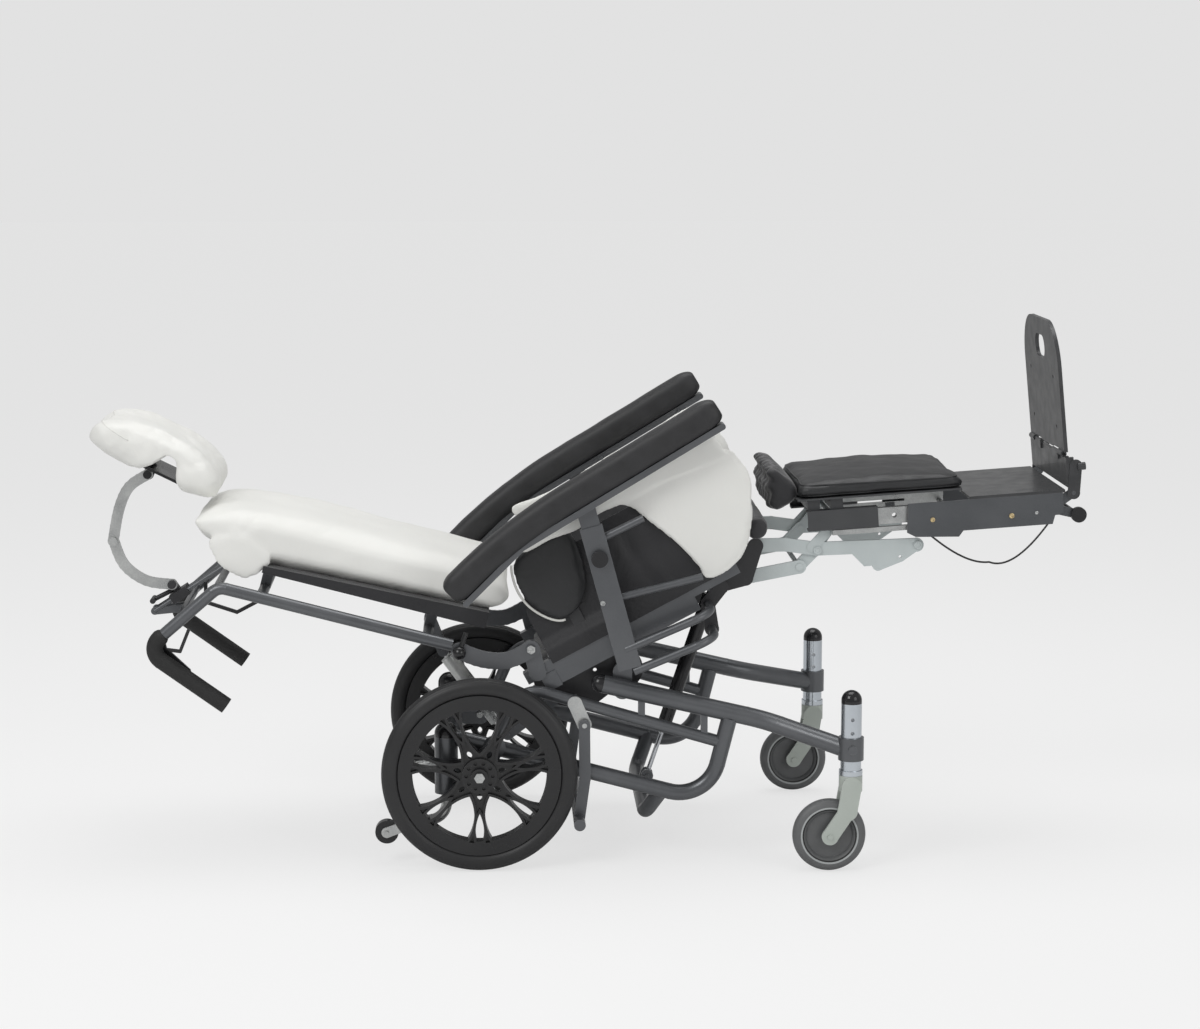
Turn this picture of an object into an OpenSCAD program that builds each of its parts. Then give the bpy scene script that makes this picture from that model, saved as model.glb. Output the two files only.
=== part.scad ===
// Tilt in space wheelchair, shown tilted and reclined with the legrest raised.
// +X is forward, +Y is the chair's left and +Z is up, in millimetres.
// The origin is on the floor, under the middle of the chair's length.

/* [Wheels] */
// Radius of a rear wheel over its tyre
rear_wheel_r = 200; // [180:1:215]
// Width of a rear tyre
rear_tyre_w = 38; // [30:1:42]
// Distance between the middles of the rear tyres
rear_track = 610; // [600:1:640]
// Radius of a caster wheel
caster_r = 75; // [65:1:85]
// Width of a caster wheel
caster_w = 30; // [24:1:34]
// Distance between the caster stems
caster_track = 670; // [650:1:700]
// Distance from the rear axle forward to the caster stems
wheelbase = 755; // [730:1:780]
// How far a caster wheel trails its stem
caster_trail = 43; // [36:1:48]

/* [Chassis] */
// Distance between the two side frames
frame_track = 500; // [490:1:520]
// Diameter of the upper rail of a side frame
rail_d = 38; // [32:1:40]
// Diameter of the lower loop of a side frame
loop_d = 33; // [28:1:36]
// Diameter of the middle tube of a side frame
mid_tube_d = 25; // [20:1:28]
// Diameter of a caster stem
stem_d = 42; // [38:1:46]
// Height of the top of a caster stem
stem_top = 348; // [340:1:380]
// Height of the tilt pivot above the floor
tilt_pivot_z = 395; // [390:1:400]
// Distance from the rear axle forward to the tilt pivot
tilt_pivot_x = 295; // [285:1:305]

/* [Seat] */
// Angle that the seat is tilted back, in degrees
seat_tilt = 28; // [26:0.5:30]
// Distance between the middles of the seat rails
seat_rail_track = 430; // [420:1:436]
// Length of the upper seat rail
seat_rail_len = 492; // [480:1:500]
// Depth of the seat cushion from back to front
seat_cushion_len = 480; // [460:1:490]
// Width of the seat cushion
seat_cushion_w = 410; // [380:1:416]
// Thickness of the seat cushion at its edge
seat_cushion_h = 62; // [50:1:70]

/* [Backrest] */
// Angle of the backrest above the horizontal, in degrees
back_rise = 14.7; // [13:0.1:16]
// Diameter of the backrest tubes
back_tube_d = 25; // [22:1:28]
// Length of the back cushion
back_cushion_len = 684; // [660:1:700]
// Width of the back cushion
back_cushion_w = 410; // [380:1:416]
// Thickness of the back cushion
back_cushion_h = 108; // [90:1:118]
// Diameter of a push handle grip
grip_d = 34; // [30:1:36]

/* [Armrests] */
// Distance between the middles of the armrest sleeves
arm_track = 576; // [570:1:590]
// Width of an armrest pad
arm_pad_w = 58; // [50:1:60]
// Thickness of an armrest pad
arm_pad_h = 60; // [50:1:66]
// Width of the flat sleeve that takes the armrest post
sleeve_w = 47; // [44:1:52]
// Width of the flat armrest post
post_w = 39; // [34:1:40]

/* [Headrest] */
// Width of the headrest cushion
headrest_w = 280; // [250:1:320]
// Width of a flat headrest arm
headrest_arm_w = 23; // [20:1:26]

/* [Legrest] */
// Angle of the raised legrest above the horizontal, in degrees
leg_rise = 3.9; // [3:0.1:5]
// Width of the calf pad
calf_pad_w = 380; // [340:1:400]
// Length of the calf pad
calf_pad_len = 354; // [340:1:360]
// Thickness of the calf pad
calf_pad_h = 38; // [30:1:42]
// Width of the foot box
foot_box_w = 372; // [366:1:380]
// Height of the two foot plates together
foot_plate_h = 352; // [330:1:370]

/* [Hidden] */
$fn = 32;

// Overrun of every cut
over = 2;
// Radial clearance of a running fit
run_fit = 0.05;
// Clearance between parts that pass each other
pass_gap = 0.5;
// Gap between a soft part and what it lies against
soft_gap = 0.3;

// Distance from the rear axle to the middle of the chair's length
centre_x = 225.4;

// The seat frame's origin is the backrest pivot
seat_x = 107;
seat_z = 446;
// The legrest pivot, measured along the seat and square to it
knee_x = 505.3;
knee_z = -44.4;

module on_chassis() translate([-centre_x, 0, 0]) children();
module on_seat() on_chassis() translate([seat_x, 0, seat_z]) rotate([0, -seat_tilt, 0]) children();
module on_back() on_chassis() translate([seat_x, 0, seat_z]) rotate([0, back_rise, 0]) children();
module on_leg() on_seat() translate([knee_x, 0, knee_z]) rotate([0, seat_tilt - leg_rise, 0]) children();

module both_sides() {
    children();
    mirror([0, 1, 0]) children();
}
// The left side is drawn, and the right side is its mirror
module side_of(s) {
    if (s > 0) children();
    else mirror([0, 1, 0]) children();
}

// A flat outline drawn in X and Z becomes a plate with its middle at y
module plate(y, t) translate([0, y + t / 2, 0]) rotate([90, 0, 0]) linear_extrude(t) children();
// A round bar along Y from y0 to y1, with its middle at x and z
module rod_y(x, z, r, y0, y1) translate([x, y1, z]) rotate([90, 0, 0]) cylinder(r = r, h = y1 - y0);

// A flat link with round ends through a list of points in X and Z
link_waist = 0.97;
module link_2d(points, w) {
    for (p = points) translate(p) circle(d = w);
    for (i = [1 : len(points) - 1]) {
        d = points[i] - points[i - 1];
        translate(points[i - 1]) rotate(atan2(d[1], d[0])) translate([0, -w * link_waist / 2]) square([norm(d), w * link_waist]);
    }
}

// A round bar between two points in space
module strut(a, b, r) {
    d = b - a;
    translate(a) rotate([0, acos(d[2] / norm(d)), atan2(d[1], d[0])]) cylinder(r = r, h = norm(d));
}

function unit(v) = v / norm(v);
// Length that a bend of radius r takes off each leg of the corner at q
function bend_trim(p, q, s, r) = r * tan(acos(unit(q - p) * unit(s - q)) / 2);

// One bend of a tube at the corner q, between the points p and s
module tube_bend(p, q, s, r, bend) {
    u = unit(q - p);
    v = unit(s - q);
    n = unit(cross(u, v));
    w = cross(n, u);
    start = q - u * bend_trim(p, q, s, bend);
    c = start + w * bend;
    multmatrix([[-w[0], u[0], n[0], c[0]], [-w[1], u[1], n[1], c[1]], [-w[2], u[2], n[2], c[2]]])
        rotate_extrude(angle = acos(u * v)) translate([bend, 0]) circle(r = r);
}

// A round tube through points, with each corner bent to the radius bend and
// a low weld bead where a straight run meets a bend
weld_bead = 0.3;
module bent_tube(points, r, bend) {
    last = len(points) - 1;
    trims = [for (i = [0 : last])
        i == 0 || i == last ? 0 : bend_trim(points[i - 1], points[i], points[i + 1], bend)];
    for (i = [1 : last]) {
        u = unit(points[i] - points[i - 1]);
        a = points[i - 1] + u * trims[i - 1];
        b = points[i] - u * trims[i];
        union() {
            strut(a, b, r);
            if (i > 1) translate(a) sphere(r = r + weld_bead);
            if (i < last) translate(b) sphere(r = r + weld_bead);
        }
    }
    for (i = [1 : 1 : last - 1]) tube_bend(points[i - 1], points[i], points[i + 1], r, bend);
}

// A closed skin over rings of points, each ring with the same count
module loft(rings) {
    n = len(rings[0]);
    m = len(rings);
    points = [for (ring = rings) for (p = ring) p];
    faces = concat(
        [[for (k = [0 : n - 1]) k]],
        [for (i = [0 : m - 2]) for (k = [0 : n - 1]) let (a = i * n + k, b = i * n + (k + 1) % n) [a, a + n, b]],
        [for (i = [0 : m - 2]) for (k = [0 : n - 1]) let (b = i * n + (k + 1) % n, a = i * n + k) [b, a + n, b + n]],
        [[for (k = [n - 1 : -1 : 0]) (m - 1) * n + k]]
    );
    polyhedron(points, faces, convexity = 4);
}

// Chassis

frame_y = frame_track / 2;
rail_r = rail_d / 2;
loop_r = loop_d / 2;
mid_r = mid_tube_d / 2;
stem_r = stem_d / 2;
stem_y = caster_track / 2;
// Upper rail: its plugged rear end, its outward kink and the caster stem, as X and Z
rail_rear = [254, 374];
rail_kink = [585, 296];
rail_stem_z = 250;
rail_bend = 160;
// Middle tube: from the front of the loop, up and back, then down behind the wheel
mid_front = [490, 252];
mid_rear = [85, 371];
mid_foot = [30, 247];
mid_bend = 60;
// Lower loop: from the rear post forward, then up to the rail
loop_rear = [-68, 270];
loop_corner = [470, 126];
loop_top = [514, 300];
loop_bend = 80;
// Webs between the upper rail and the middle tube
web_x = 333;
web_w = 14;
web_low_z = 298;
web_high_z = 356;
front_web_x = 462;
front_web_low_z = 262;
front_web_high_z = 312;
// Rear posts, with the plates that carry the wheel axles
post_x = -68;
post_r = 24;
post_low_z = 150;
post_high_z = 268;
axle_plate_t = 8;
axle_plate_w = 46;
// Clamp that grips a caster stem
clamp_r = 26;
clamp_low_z = 231;
clamp_high_z = 278;
clamp_bolt_z = 256;
clamp_bolt_r = 9;
clamp_bolt_h = 4;
// Tilt pivot: a lug on the rail with a pin that points inward
lug_t = 10;
lug_w = 40;
lug_foot_z = 358;
tilt_pin_r = 8;
tilt_plate_y = 195;
tilt_plate_t = 6;
lug_y = 229;

module side_frame() {
    bent_tube([[rail_rear[0], frame_y, rail_rear[1]], [rail_kink[0], frame_y, rail_kink[1]],
        [wheelbase, stem_y, rail_stem_z]], rail_r, rail_bend);
    bent_tube([[mid_front[0], frame_y, mid_front[1]], [mid_rear[0], frame_y, mid_rear[1]],
        [mid_foot[0], frame_y, mid_foot[1]]], mid_r, mid_bend);
    bent_tube([[loop_rear[0], frame_y, loop_rear[1]], [loop_corner[0], frame_y, loop_corner[1]],
        [loop_top[0], frame_y, loop_top[1]]], loop_r, loop_bend);
    translate([web_x - web_w / 2, frame_y - mid_r / 2, web_low_z]) cube([web_w, mid_r, web_high_z - web_low_z]);
    translate([front_web_x - web_w / 2, frame_y - mid_r / 2, front_web_low_z])
        cube([web_w, mid_r, front_web_high_z - front_web_low_z]);
    translate([post_x, frame_y, post_low_z]) cylinder(r = post_r, h = post_high_z - post_low_z);
    difference() {
        plate(frame_y + mid_r, axle_plate_t) {
            link_2d([[post_x, rear_wheel_r], [0, rear_wheel_r]], axle_plate_w);
            link_2d([[0, rear_wheel_r], [mid_foot[0], mid_foot[1]]], axle_plate_w);
        }
        rod_y(0, rear_wheel_r, axle_r, 0, caster_track);
    }
    difference() {
        union() {
            translate([wheelbase, stem_y, clamp_low_z]) cylinder(r = clamp_r, h = clamp_high_z - clamp_low_z);
            rod_y(wheelbase, clamp_bolt_z, clamp_bolt_r, stem_y, stem_y + clamp_r + clamp_bolt_h);
        }
        translate([wheelbase, stem_y, 0]) cylinder(r = stem_r, h = stem_top);
    }
    plate(lug_y, lug_t) link_2d([[tilt_pivot_x, tilt_pivot_z], [tilt_pivot_x, lug_foot_z]], lug_w);
    rod_y(tilt_pivot_x, tilt_pivot_z, tilt_pin_r, tilt_plate_y - tilt_plate_t, lug_y);
}

module side_frames() on_chassis() color([0.37, 0.38, 0.4]) both_sides() difference() {
    side_frame();
    translate([wheelbase, stem_y, 0]) cylinder(r = stem_r, h = stem_top);
    translate([post_x, frame_y, post_low_z - over]) cylinder(r = tip_tube_r + run_fit, h = tip_plug_z - post_low_z + over);
}

// Front cross tube: it leaves the lower loops, dips and crosses the chair
dip_r = 16;
dip_start = [376, 152];
dip_low = [345, 88];
dip_y = 185;
dip_bend = 50;
// Rear cross tube between the rear posts
rear_tube_r = 15;
rear_tube_z = 190;
// Lug on the front cross tube for the foot of the tilt gas spring
foot_lug = [359, 122];
foot_lug_w = 26;
foot_lug_t = 5;
foot_lug_gap = 20;
foot_pin_r = 4;

module cross_tubes() on_chassis() color([0.34, 0.35, 0.37]) {
    difference() {
        bent_tube([[dip_start[0], frame_y, dip_start[1]], [dip_low[0], dip_y, dip_low[1]],
            [dip_low[0], -dip_y, dip_low[1]], [dip_start[0], -frame_y, dip_start[1]]], dip_r, dip_bend);
        both_sides() bent_tube([[loop_rear[0], frame_y, loop_rear[1]], [loop_corner[0], frame_y, loop_corner[1]],
            [loop_top[0], frame_y, loop_top[1]]], loop_r, loop_bend);
    }
    difference() {
        rod_y(post_x, rear_tube_z, rear_tube_r, -frame_y, frame_y);
        both_sides() translate([post_x, frame_y, 0]) cylinder(r = post_r, h = post_high_z);
    }
    both_sides() plate((foot_lug_gap + foot_lug_t) / 2, foot_lug_t) difference() {
        link_2d([foot_lug, dip_low], foot_lug_w);
        translate(foot_lug) circle(r = foot_pin_r);
    }
    rod_y(foot_lug[0], foot_lug[1], foot_pin_r, -foot_lug_gap / 2 - foot_lug_t * 2, foot_lug_gap / 2 + foot_lug_t * 2);
}

// Caster stems: plated tubes with a bearing bore and two cross holes
stem_low_z = 200;
spindle_r = 12;
stem_hole_r = 4;
stem_hole_z = 289;
stem_hole_step = 28;
stem_ring_r = 24;
stem_ring_h = 10;
stem_bore_top = 276;
spindle_top = 271;

module caster_stems() on_chassis() color([0.75, 0.79, 0.82]) both_sides() translate([wheelbase, stem_y, 0]) difference() {
    union() {
        translate([0, 0, stem_low_z]) cylinder(r = stem_r, h = stem_top - stem_low_z);
        translate([0, 0, stem_low_z]) cylinder(r = stem_ring_r, h = stem_ring_h);
    }
    translate([0, 0, stem_low_z - over]) cylinder(r = spindle_r + run_fit, h = stem_bore_top - stem_low_z + over);
    for (i = [0, 1]) rod_y(0, stem_hole_z + i * stem_hole_step, stem_hole_r, -caster_w, caster_w);
}

// Black caps: domes on the stems and the rear posts, and plugs in the rails' rear ends
cap_skirt = 6;
cap_lip = 1.5;
module dome_cap(r, rise) rotate_extrude() intersection() {
    union() {
        square([r, cap_skirt]);
        translate([0, cap_skirt]) scale(rise / r) circle(r = r);
    }
    square([r, cap_skirt + rise]);
}
module tube_caps() on_chassis() color([0.08, 0.08, 0.09]) both_sides() {
    translate([wheelbase, stem_y, stem_top]) dome_cap(stem_r, stem_r);
    translate([post_x, frame_y, post_high_z]) dome_cap(post_r, post_r);
    rail_dir = rail_kink - rail_rear;
    translate([rail_rear[0], frame_y, rail_rear[1]])
        rotate([0, -90 - atan2(rail_dir[1], rail_dir[0]), 0]) dome_cap(rail_r, rail_r);
}

// Fixed wheel axles with their nuts
axle_r = 6.5;
axle_in_y = 246;
hub_w = 54;
nut_r = 11;
nut_h = 8;
wheel_y = rear_track / 2;
module wheel_axles() on_chassis() color([0.78, 0.74, 0.72]) both_sides() {
    rod_y(0, rear_wheel_r, axle_r, axle_in_y, wheel_y + hub_w / 2 + nut_h);
    translate([0, wheel_y + hub_w / 2 + nut_h + pass_gap, rear_wheel_r]) rotate([90, 0, 0])
        cylinder(r = nut_r, h = nut_h, $fn = 6);
}

// Casters: a one-piece fork on a spindle, and a wheel on its axle
fork_wall = 7;
fork_gap = caster_w + 4;
crown_low = 166;
crown_r = 24;
fork_axle_r = 5;
fork_foot_w = 34;
fork_mid = [-8, 128];
fork_axle_over = 4;

module caster_fork(s) on_chassis() color([0.7, 0.73, 0.7]) side_of(s) translate([wheelbase, stem_y, 0]) {
    axle = [-caster_trail, caster_r];
    cylinder_top = stem_low_z - pass_gap;
    translate([0, 0, crown_low]) cylinder(r = crown_r, h = cylinder_top - crown_low);
    translate([0, 0, crown_low]) cylinder(r = spindle_r, h = spindle_top - crown_low);
    both_sides() plate(fork_gap / 2 + fork_wall / 2, fork_wall) union() {
        link_2d([[0, crown_low + crown_r / 2], fork_mid], crown_r * 2 - fork_wall);
        link_2d([fork_mid, axle], fork_foot_w);
    }
    rod_y(axle[0], axle[1], fork_axle_r, -fork_gap / 2 - fork_wall - fork_axle_over,
        fork_gap / 2 + fork_wall + fork_axle_over);
}
module caster_fork_right() caster_fork(-1);
module caster_fork_left() caster_fork(1);

caster_core_r = 58;
caster_hub_r = 16;
caster_hub_w = 33;
caster_web_w = 12;
caster_groove_w = 2;
module caster_wheel(s) on_chassis() color([0.42, 0.43, 0.44]) side_of(s)
    translate([wheelbase - caster_trail, stem_y, caster_r]) rotate([90, 0, 0]) rotate_extrude() difference() {
        union() {
            translate([0, -caster_hub_w / 2]) square([caster_hub_r, caster_hub_w]);
            translate([0, -caster_web_w / 2]) square([caster_core_r, caster_web_w]);
            translate([caster_core_r - caster_w / 6, -caster_w / 2 + caster_groove_w])
                square([caster_w / 6, caster_w - 2 * caster_groove_w]);
            translate([caster_core_r, -caster_w / 2 + caster_groove_w])
                square([caster_r - caster_core_r - caster_w / 4, caster_w - 2 * caster_groove_w]);
            translate([caster_r - caster_w / 2, 0]) circle(d = caster_w);
        }
        translate([0, -caster_w]) square([fork_axle_r + run_fit, caster_w * 2]);
    }
module caster_wheel_right() caster_wheel(-1);
module caster_wheel_left() caster_wheel(1);

// Rear wheels: a moulded rim with seven shield-shaped windows, and a tyre
rim_r = rear_wheel_r * 0.83;
rim_in_r = rear_wheel_r * 0.7;
rim_w = rear_tyre_w * 0.84;
web_t = rear_tyre_w * 0.42;
lip_w = rear_tyre_w * 0.13;
hub_r = 36;
hub_ring_r = 17;
window_count = 7;
// Each window is a leaf between two arcs: its distance out, its arcs' radius and their shift
shield = [rear_wheel_r * 0.61, rear_wheel_r * 0.48, rear_wheel_r * 0.3];
teardrop = [rear_wheel_r * 0.59, rear_wheel_r * 0.469, rear_wheel_r * 0.426];
hub_window = [rear_wheel_r * 0.232, rear_wheel_r * 0.046, rear_wheel_r * 0.02];
pocket_count = 10;
pocket_r = 4;
pocket_out = 27;
pocket_depth = 5;

module leaf_2d(leaf, grow) rotate(90) intersection() {
    translate([leaf[0], leaf[2]]) circle(r = leaf[1] + grow);
    translate([leaf[0], -leaf[2]]) circle(r = leaf[1] + grow);
    circle(r = rim_in_r - lip_w * 0.6 + grow);
}
module windows_2d(grow) {
    for (i = [0 : window_count - 1]) rotate(i * 360 / window_count) leaf_2d(shield, grow);
    for (i = [0 : window_count - 1]) rotate((i + 0.5) * 360 / window_count) leaf_2d(teardrop, grow);
}
module rear_rim(s) on_chassis() color([0.07, 0.07, 0.08]) side_of(s)
    translate([0, wheel_y, rear_wheel_r]) rotate([90, 0, 0]) difference() {
        union() {
            rotate_extrude() {
                translate([rim_in_r, -rim_w / 2]) square([rim_r - rim_in_r, rim_w]);
                translate([0, -hub_w / 2]) square([hub_ring_r, hub_w]);
                translate([0, -rim_w / 2]) square([hub_r, rim_w]);
            }
            translate([0, 0, -web_t / 2]) linear_extrude(web_t) difference() {
                circle(r = rim_in_r + over);
                windows_2d(0);
                for (i = [0 : window_count - 1]) rotate((i + 0.5) * 360 / window_count) leaf_2d(hub_window, 0);
            }
            translate([0, 0, -rim_w / 2]) linear_extrude(rim_w) difference() {
                windows_2d(lip_w);
                windows_2d(0);
                circle(r = hub_r - lip_w);
            }
        }
        translate([0, 0, -hub_w]) cylinder(r = axle_r + run_fit, h = hub_w * 2);
        for (i = [0 : pocket_count - 1]) rotate(i * 360 / pocket_count)
            translate([pocket_out, 0, rim_w / 2 - pocket_depth]) cylinder(r = pocket_r, h = pocket_depth + over);
        for (i = [0 : pocket_count - 1]) rotate(i * 360 / pocket_count)
            translate([pocket_out, 0, -rim_w / 2 - over]) cylinder(r = pocket_r, h = pocket_depth + over);
    }
module rear_rim_right() rear_rim(-1);
module rear_rim_left() rear_rim(1);

module rear_tyre(s) on_chassis() color([0.09, 0.09, 0.1]) side_of(s)
    translate([0, wheel_y, rear_wheel_r]) rotate([90, 0, 0]) rotate_extrude() difference() {
        translate([rear_wheel_r - rear_tyre_w / 2, 0]) circle(d = rear_tyre_w);
        translate([0, -rear_tyre_w]) square([rim_r, rear_tyre_w * 2]);
    }
module rear_tyre_right() rear_tyre(-1);
module rear_tyre_left() rear_tyre(1);

// Brake: two arms that hang from brackets on the middle tubes, joined by a bar across both tyres
brake_pivot = [215, 292];
brake_pin_r = 5;
brake_arm_t = 5;
brake_arm_w = 24;
brake_arm_y = 271;
brake_elbow = [216, 180];
brake_bar_at = [204, 94];
brake_bar_r = 12;
brake_bar_end = 318;
brake_cap_t = 3;
bracket_t = 5;
bracket_w = 30;
bracket_top = [196, 336];

module brake_brackets() on_chassis() color([0.62, 0.64, 0.64]) both_sides() {
    plate(frame_y + mid_r - bracket_t / 4, bracket_t)
        link_2d([brake_pivot, bracket_top], bracket_w);
    rod_y(brake_pivot[0], brake_pivot[1], brake_pin_r, frame_y + mid_r - bracket_t, brake_arm_y + brake_arm_t);
    rod_y(brake_pivot[0], brake_pivot[1], brake_pin_r * 2, frame_y + mid_r, brake_arm_y - brake_arm_t / 2 - pass_gap);
}
module brake_bar() on_chassis() color([0.7, 0.73, 0.74]) {
    both_sides() {
        plate(brake_arm_y, brake_arm_t) difference() {
            link_2d([brake_pivot, brake_elbow, brake_bar_at], brake_arm_w);
            translate(brake_pivot) circle(r = brake_pin_r + run_fit);
        }
    }
    rod_y(brake_bar_at[0], brake_bar_at[1], brake_bar_r, -brake_bar_end, brake_bar_end);
}

// Anti-tip arms: curved tubes plugged into the rear posts, each with a small wheel
tip_tube_r = 11;
tip_knee_z = 98;
tip_end = [-150, 84];
tip_bend = 36;
tip_wheel = [-191, 69];
tip_wheel_r = 24;
tip_wheel_w = 20;
tip_fork_t = 4;
tip_fork_w = 22;
tip_pin_r = 4;
tip_plug_z = 172;

module anti_tip_arm(s) on_chassis() color([0.5, 0.52, 0.54]) translate([0, s * frame_y, 0]) mirror([0, 1, 0]) {
    bent_tube([[post_x, 0, tip_plug_z - pass_gap], [post_x, 0, tip_knee_z], [tip_end[0], 0, tip_end[1]]],
        tip_tube_r, tip_bend);
    for (i = [-1, 1]) plate(i * (tip_wheel_w / 2 + pass_gap + tip_fork_t / 2), tip_fork_t)
        link_2d([tip_end, tip_wheel], tip_fork_w);
    rod_y(tip_wheel[0], tip_wheel[1], tip_pin_r, -tip_wheel_w, tip_wheel_w);
}
module anti_tip_arm_right() anti_tip_arm(-1);
module anti_tip_arm_left() anti_tip_arm(1);
module anti_tip_wheel(s) on_chassis() color([0.1, 0.1, 0.1]) side_of(s) difference() {
    rod_y(tip_wheel[0], tip_wheel[1], tip_wheel_r, frame_y - tip_wheel_w / 2, frame_y + tip_wheel_w / 2);
    rod_y(tip_wheel[0], tip_wheel[1], tip_pin_r + run_fit, frame_y - tip_wheel_w, frame_y + tip_wheel_w);
}
module anti_tip_wheel_right() anti_tip_wheel(-1);
module anti_tip_wheel_left() anti_tip_wheel(1);

// Gas springs

// A gas spring's cylinder, along +Z from its eye at the origin
module spring_cylinder(r, len, eye_r, eye_w, pin_r, rod_r) difference() {
    union() {
        translate([0, 0, eye_r * 1.6]) cylinder(r = r, h = len - eye_r * 1.6);
        rod_y(0, 0, eye_r, -eye_w / 2, eye_w / 2);
        cylinder(r = eye_w * 0.4, h = eye_r * 2);
    }
    rod_y(0, 0, pin_r + run_fit, -eye_w, eye_w);
    translate([0, 0, eye_r * 2 + over]) cylinder(r = rod_r + run_fit, h = len);
}
// A gas spring's rod, along +Z from its eye at the origin, with a slot in the eye as long as play
module spring_rod(r, len, eye_r, eye_w, pin_r, play) difference() {
    union() {
        cylinder(r = r, h = len);
        rod_y(0, 0, eye_r, -eye_w / 2, eye_w / 2);
    }
    for (t = slot_shares) rod_y(play[0] * t, play[1] * t, pin_r, -eye_w, eye_w);
}

// Tilt spring: from the seat's front cross tube down to the lug on the front cross tube
tilt_top = [385, -108];
tilt_cyl_r = 15;
tilt_cyl_len = 332;
tilt_rod_r = 5;
tilt_rod_len = 320;
spring_eye_r = 11;
spring_eye_w = 18;
spring_pin_r = 4;
spring_open_fit = 0.6;
// How far the pins travel in their slotted eyes as the joints move
slot_shares = [0, 0.5, 1];
tilt_play = [-0.7, -2.9];
recline_play = [2.4, -4.1];
tilt_top_at = [seat_x + tilt_top[0] * cos(seat_tilt) - tilt_top[1] * sin(seat_tilt),
    seat_z + tilt_top[0] * sin(seat_tilt) + tilt_top[1] * cos(seat_tilt)];
tilt_lean = atan2(tilt_top_at[0] - foot_lug[0], tilt_top_at[1] - foot_lug[1]);

module tilt_cylinder() on_chassis() color([0.1, 0.1, 0.11])
    translate([tilt_top_at[0], 0, tilt_top_at[1]]) rotate([0, tilt_lean + 180, 0])
        spring_cylinder(tilt_cyl_r, tilt_cyl_len, spring_eye_r, spring_eye_w, spring_pin_r, tilt_rod_r);
module tilt_rod() on_chassis() color([0.75, 0.77, 0.8])
    translate([foot_lug[0], 0, foot_lug[1]]) rotate([0, tilt_lean, 0])
        spring_rod(tilt_rod_r, tilt_rod_len, spring_eye_r, spring_eye_w, foot_pin_r + spring_open_fit, tilt_play);

// Recline spring: from the backrest down to the yoke under the seat's rear end
yoke_end = [60, 215];
recline_top = [-77, 398];
recline_cyl_r = 17;
recline_cyl_len = 192;
recline_rod_r = 6;
recline_rod_len = 190;
recline_lean = atan2(recline_top[0] - yoke_end[0], recline_top[1] - yoke_end[1]);

module recline_cylinder() on_chassis() color([0.72, 0.73, 0.72])
    translate([recline_top[0], 0, recline_top[1]]) rotate([0, recline_lean + 180, 0])
        spring_cylinder(recline_cyl_r, recline_cyl_len, spring_eye_r, spring_eye_w, spring_pin_r, recline_rod_r);
module recline_rod() on_chassis() color([0.75, 0.77, 0.8])
    translate([yoke_end[0], 0, yoke_end[1]]) rotate([0, recline_lean, 0])
        spring_rod(recline_rod_r, recline_rod_len, spring_eye_r, spring_eye_w, spring_pin_r + spring_open_fit,
            recline_play);

// Soft forms

function mix(a, b, t) = a + (b - a) * t;
function bezier(a, b, c, t) = mix(mix(a, b, t), mix(b, c, t), t);
// How full a soft form is at t, with round ends of the share end and the least fill low
function fill(t, end, low) = let (e = min(t, 1 - t) / end) e >= 1 ? 1 : low + (1 - low) * sqrt(1 - pow(1 - e, 2));
// Stations from 0 to 1 that close up toward both ends
function stations(m) = [for (i = [0 : m]) (1 - cos(180 * i / m)) / 2];
function power(v, p) = sign(v) * pow(abs(v), 2 / p);
// A rounded box's section, with n points
function oval(n, w, h, p) = [for (k = [0 : n - 1]) [w / 2 * power(cos(360 * k / n), p), h / 2 * power(sin(360 * k / n), p)]];
// A smooth closed line through named points
function smooth_loop(q, steps) = let (c = len(q)) [for (i = [0 : c - 1]) for (k = [0 : steps - 1])
    let (a = q[(i + c - 1) % c], b = q[i], d = q[(i + 1) % c], e = q[(i + 2) % c], t = k / steps)
    b + ((d - a) * t + (2 * a - 5 * b + 4 * d - e) * t * t + (3 * b - a - 3 * d + e) * t * t * t) / 2];
// A smooth open line through named points
function smooth_path(q, steps) = let (c = len(q) - 1) concat([for (i = [0 : c - 1]) for (k = [0 : steps - 1])
    let (a = q[max(0, i - 1)], b = q[i], d = q[i + 1], e = q[min(c, i + 2)], t = k / steps)
    b + ((d - a) * t + (2 * a - 5 * b + 4 * d - e) * t * t + (3 * b - a - 3 * d + e) * t * t * t) / 2], [q[c]]);
curve_steps = 4;
soft_n = 24;
soft_m = 18;
soft_power = 4.5;

// A cushion from x0 to x1; low and high give its faces as pairs of share and height
module cushion(x0, x1, w, low, high, crown, end, pinch) {
    rings = [for (t = stations(soft_m)) let (zl = lookup(t, low), zh = lookup(t, high), f = fill(t, end, 0.6))
        [for (p = oval(soft_n, w, zh - zl, soft_power)) let (u = 2 * p[0] / w)
            [x0 + (x1 - x0) * t, p[0] * (mix(1, f, 0.25) - (abs(u) > 0.97 ? pinch / w : 0)),
                (zl + zh) / 2 + p[1] + (p[1] > 0 ? crown * (1 - u * u) * sin(180 * t) : 0)]]];
    loft(rings);
}
// A flat pad with a bulged face, from its outline in X and Z, with its middle at y
pad_core = 0.4;
pad_dome = 1.2;

module flat_pad(outline, y, t, shrink) {
    c = len(outline);
    sum = [for (p = outline) 1] * outline;
    rings = [for (k = [-4 : 4]) let (a = max(-90, min(90, k * 30)), f = abs(k) > 3 ? pad_core : 1 - shrink * (1 - cos(a)),
            h = t / 2 * sin(a) * (abs(k) > 3 ? pad_dome : 1))
        [for (p = outline) let (q = sum / c + (p - sum / c) * f) [q[0], y + h, q[1]]]];
    loft(rings);
}

// Seat

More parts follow.
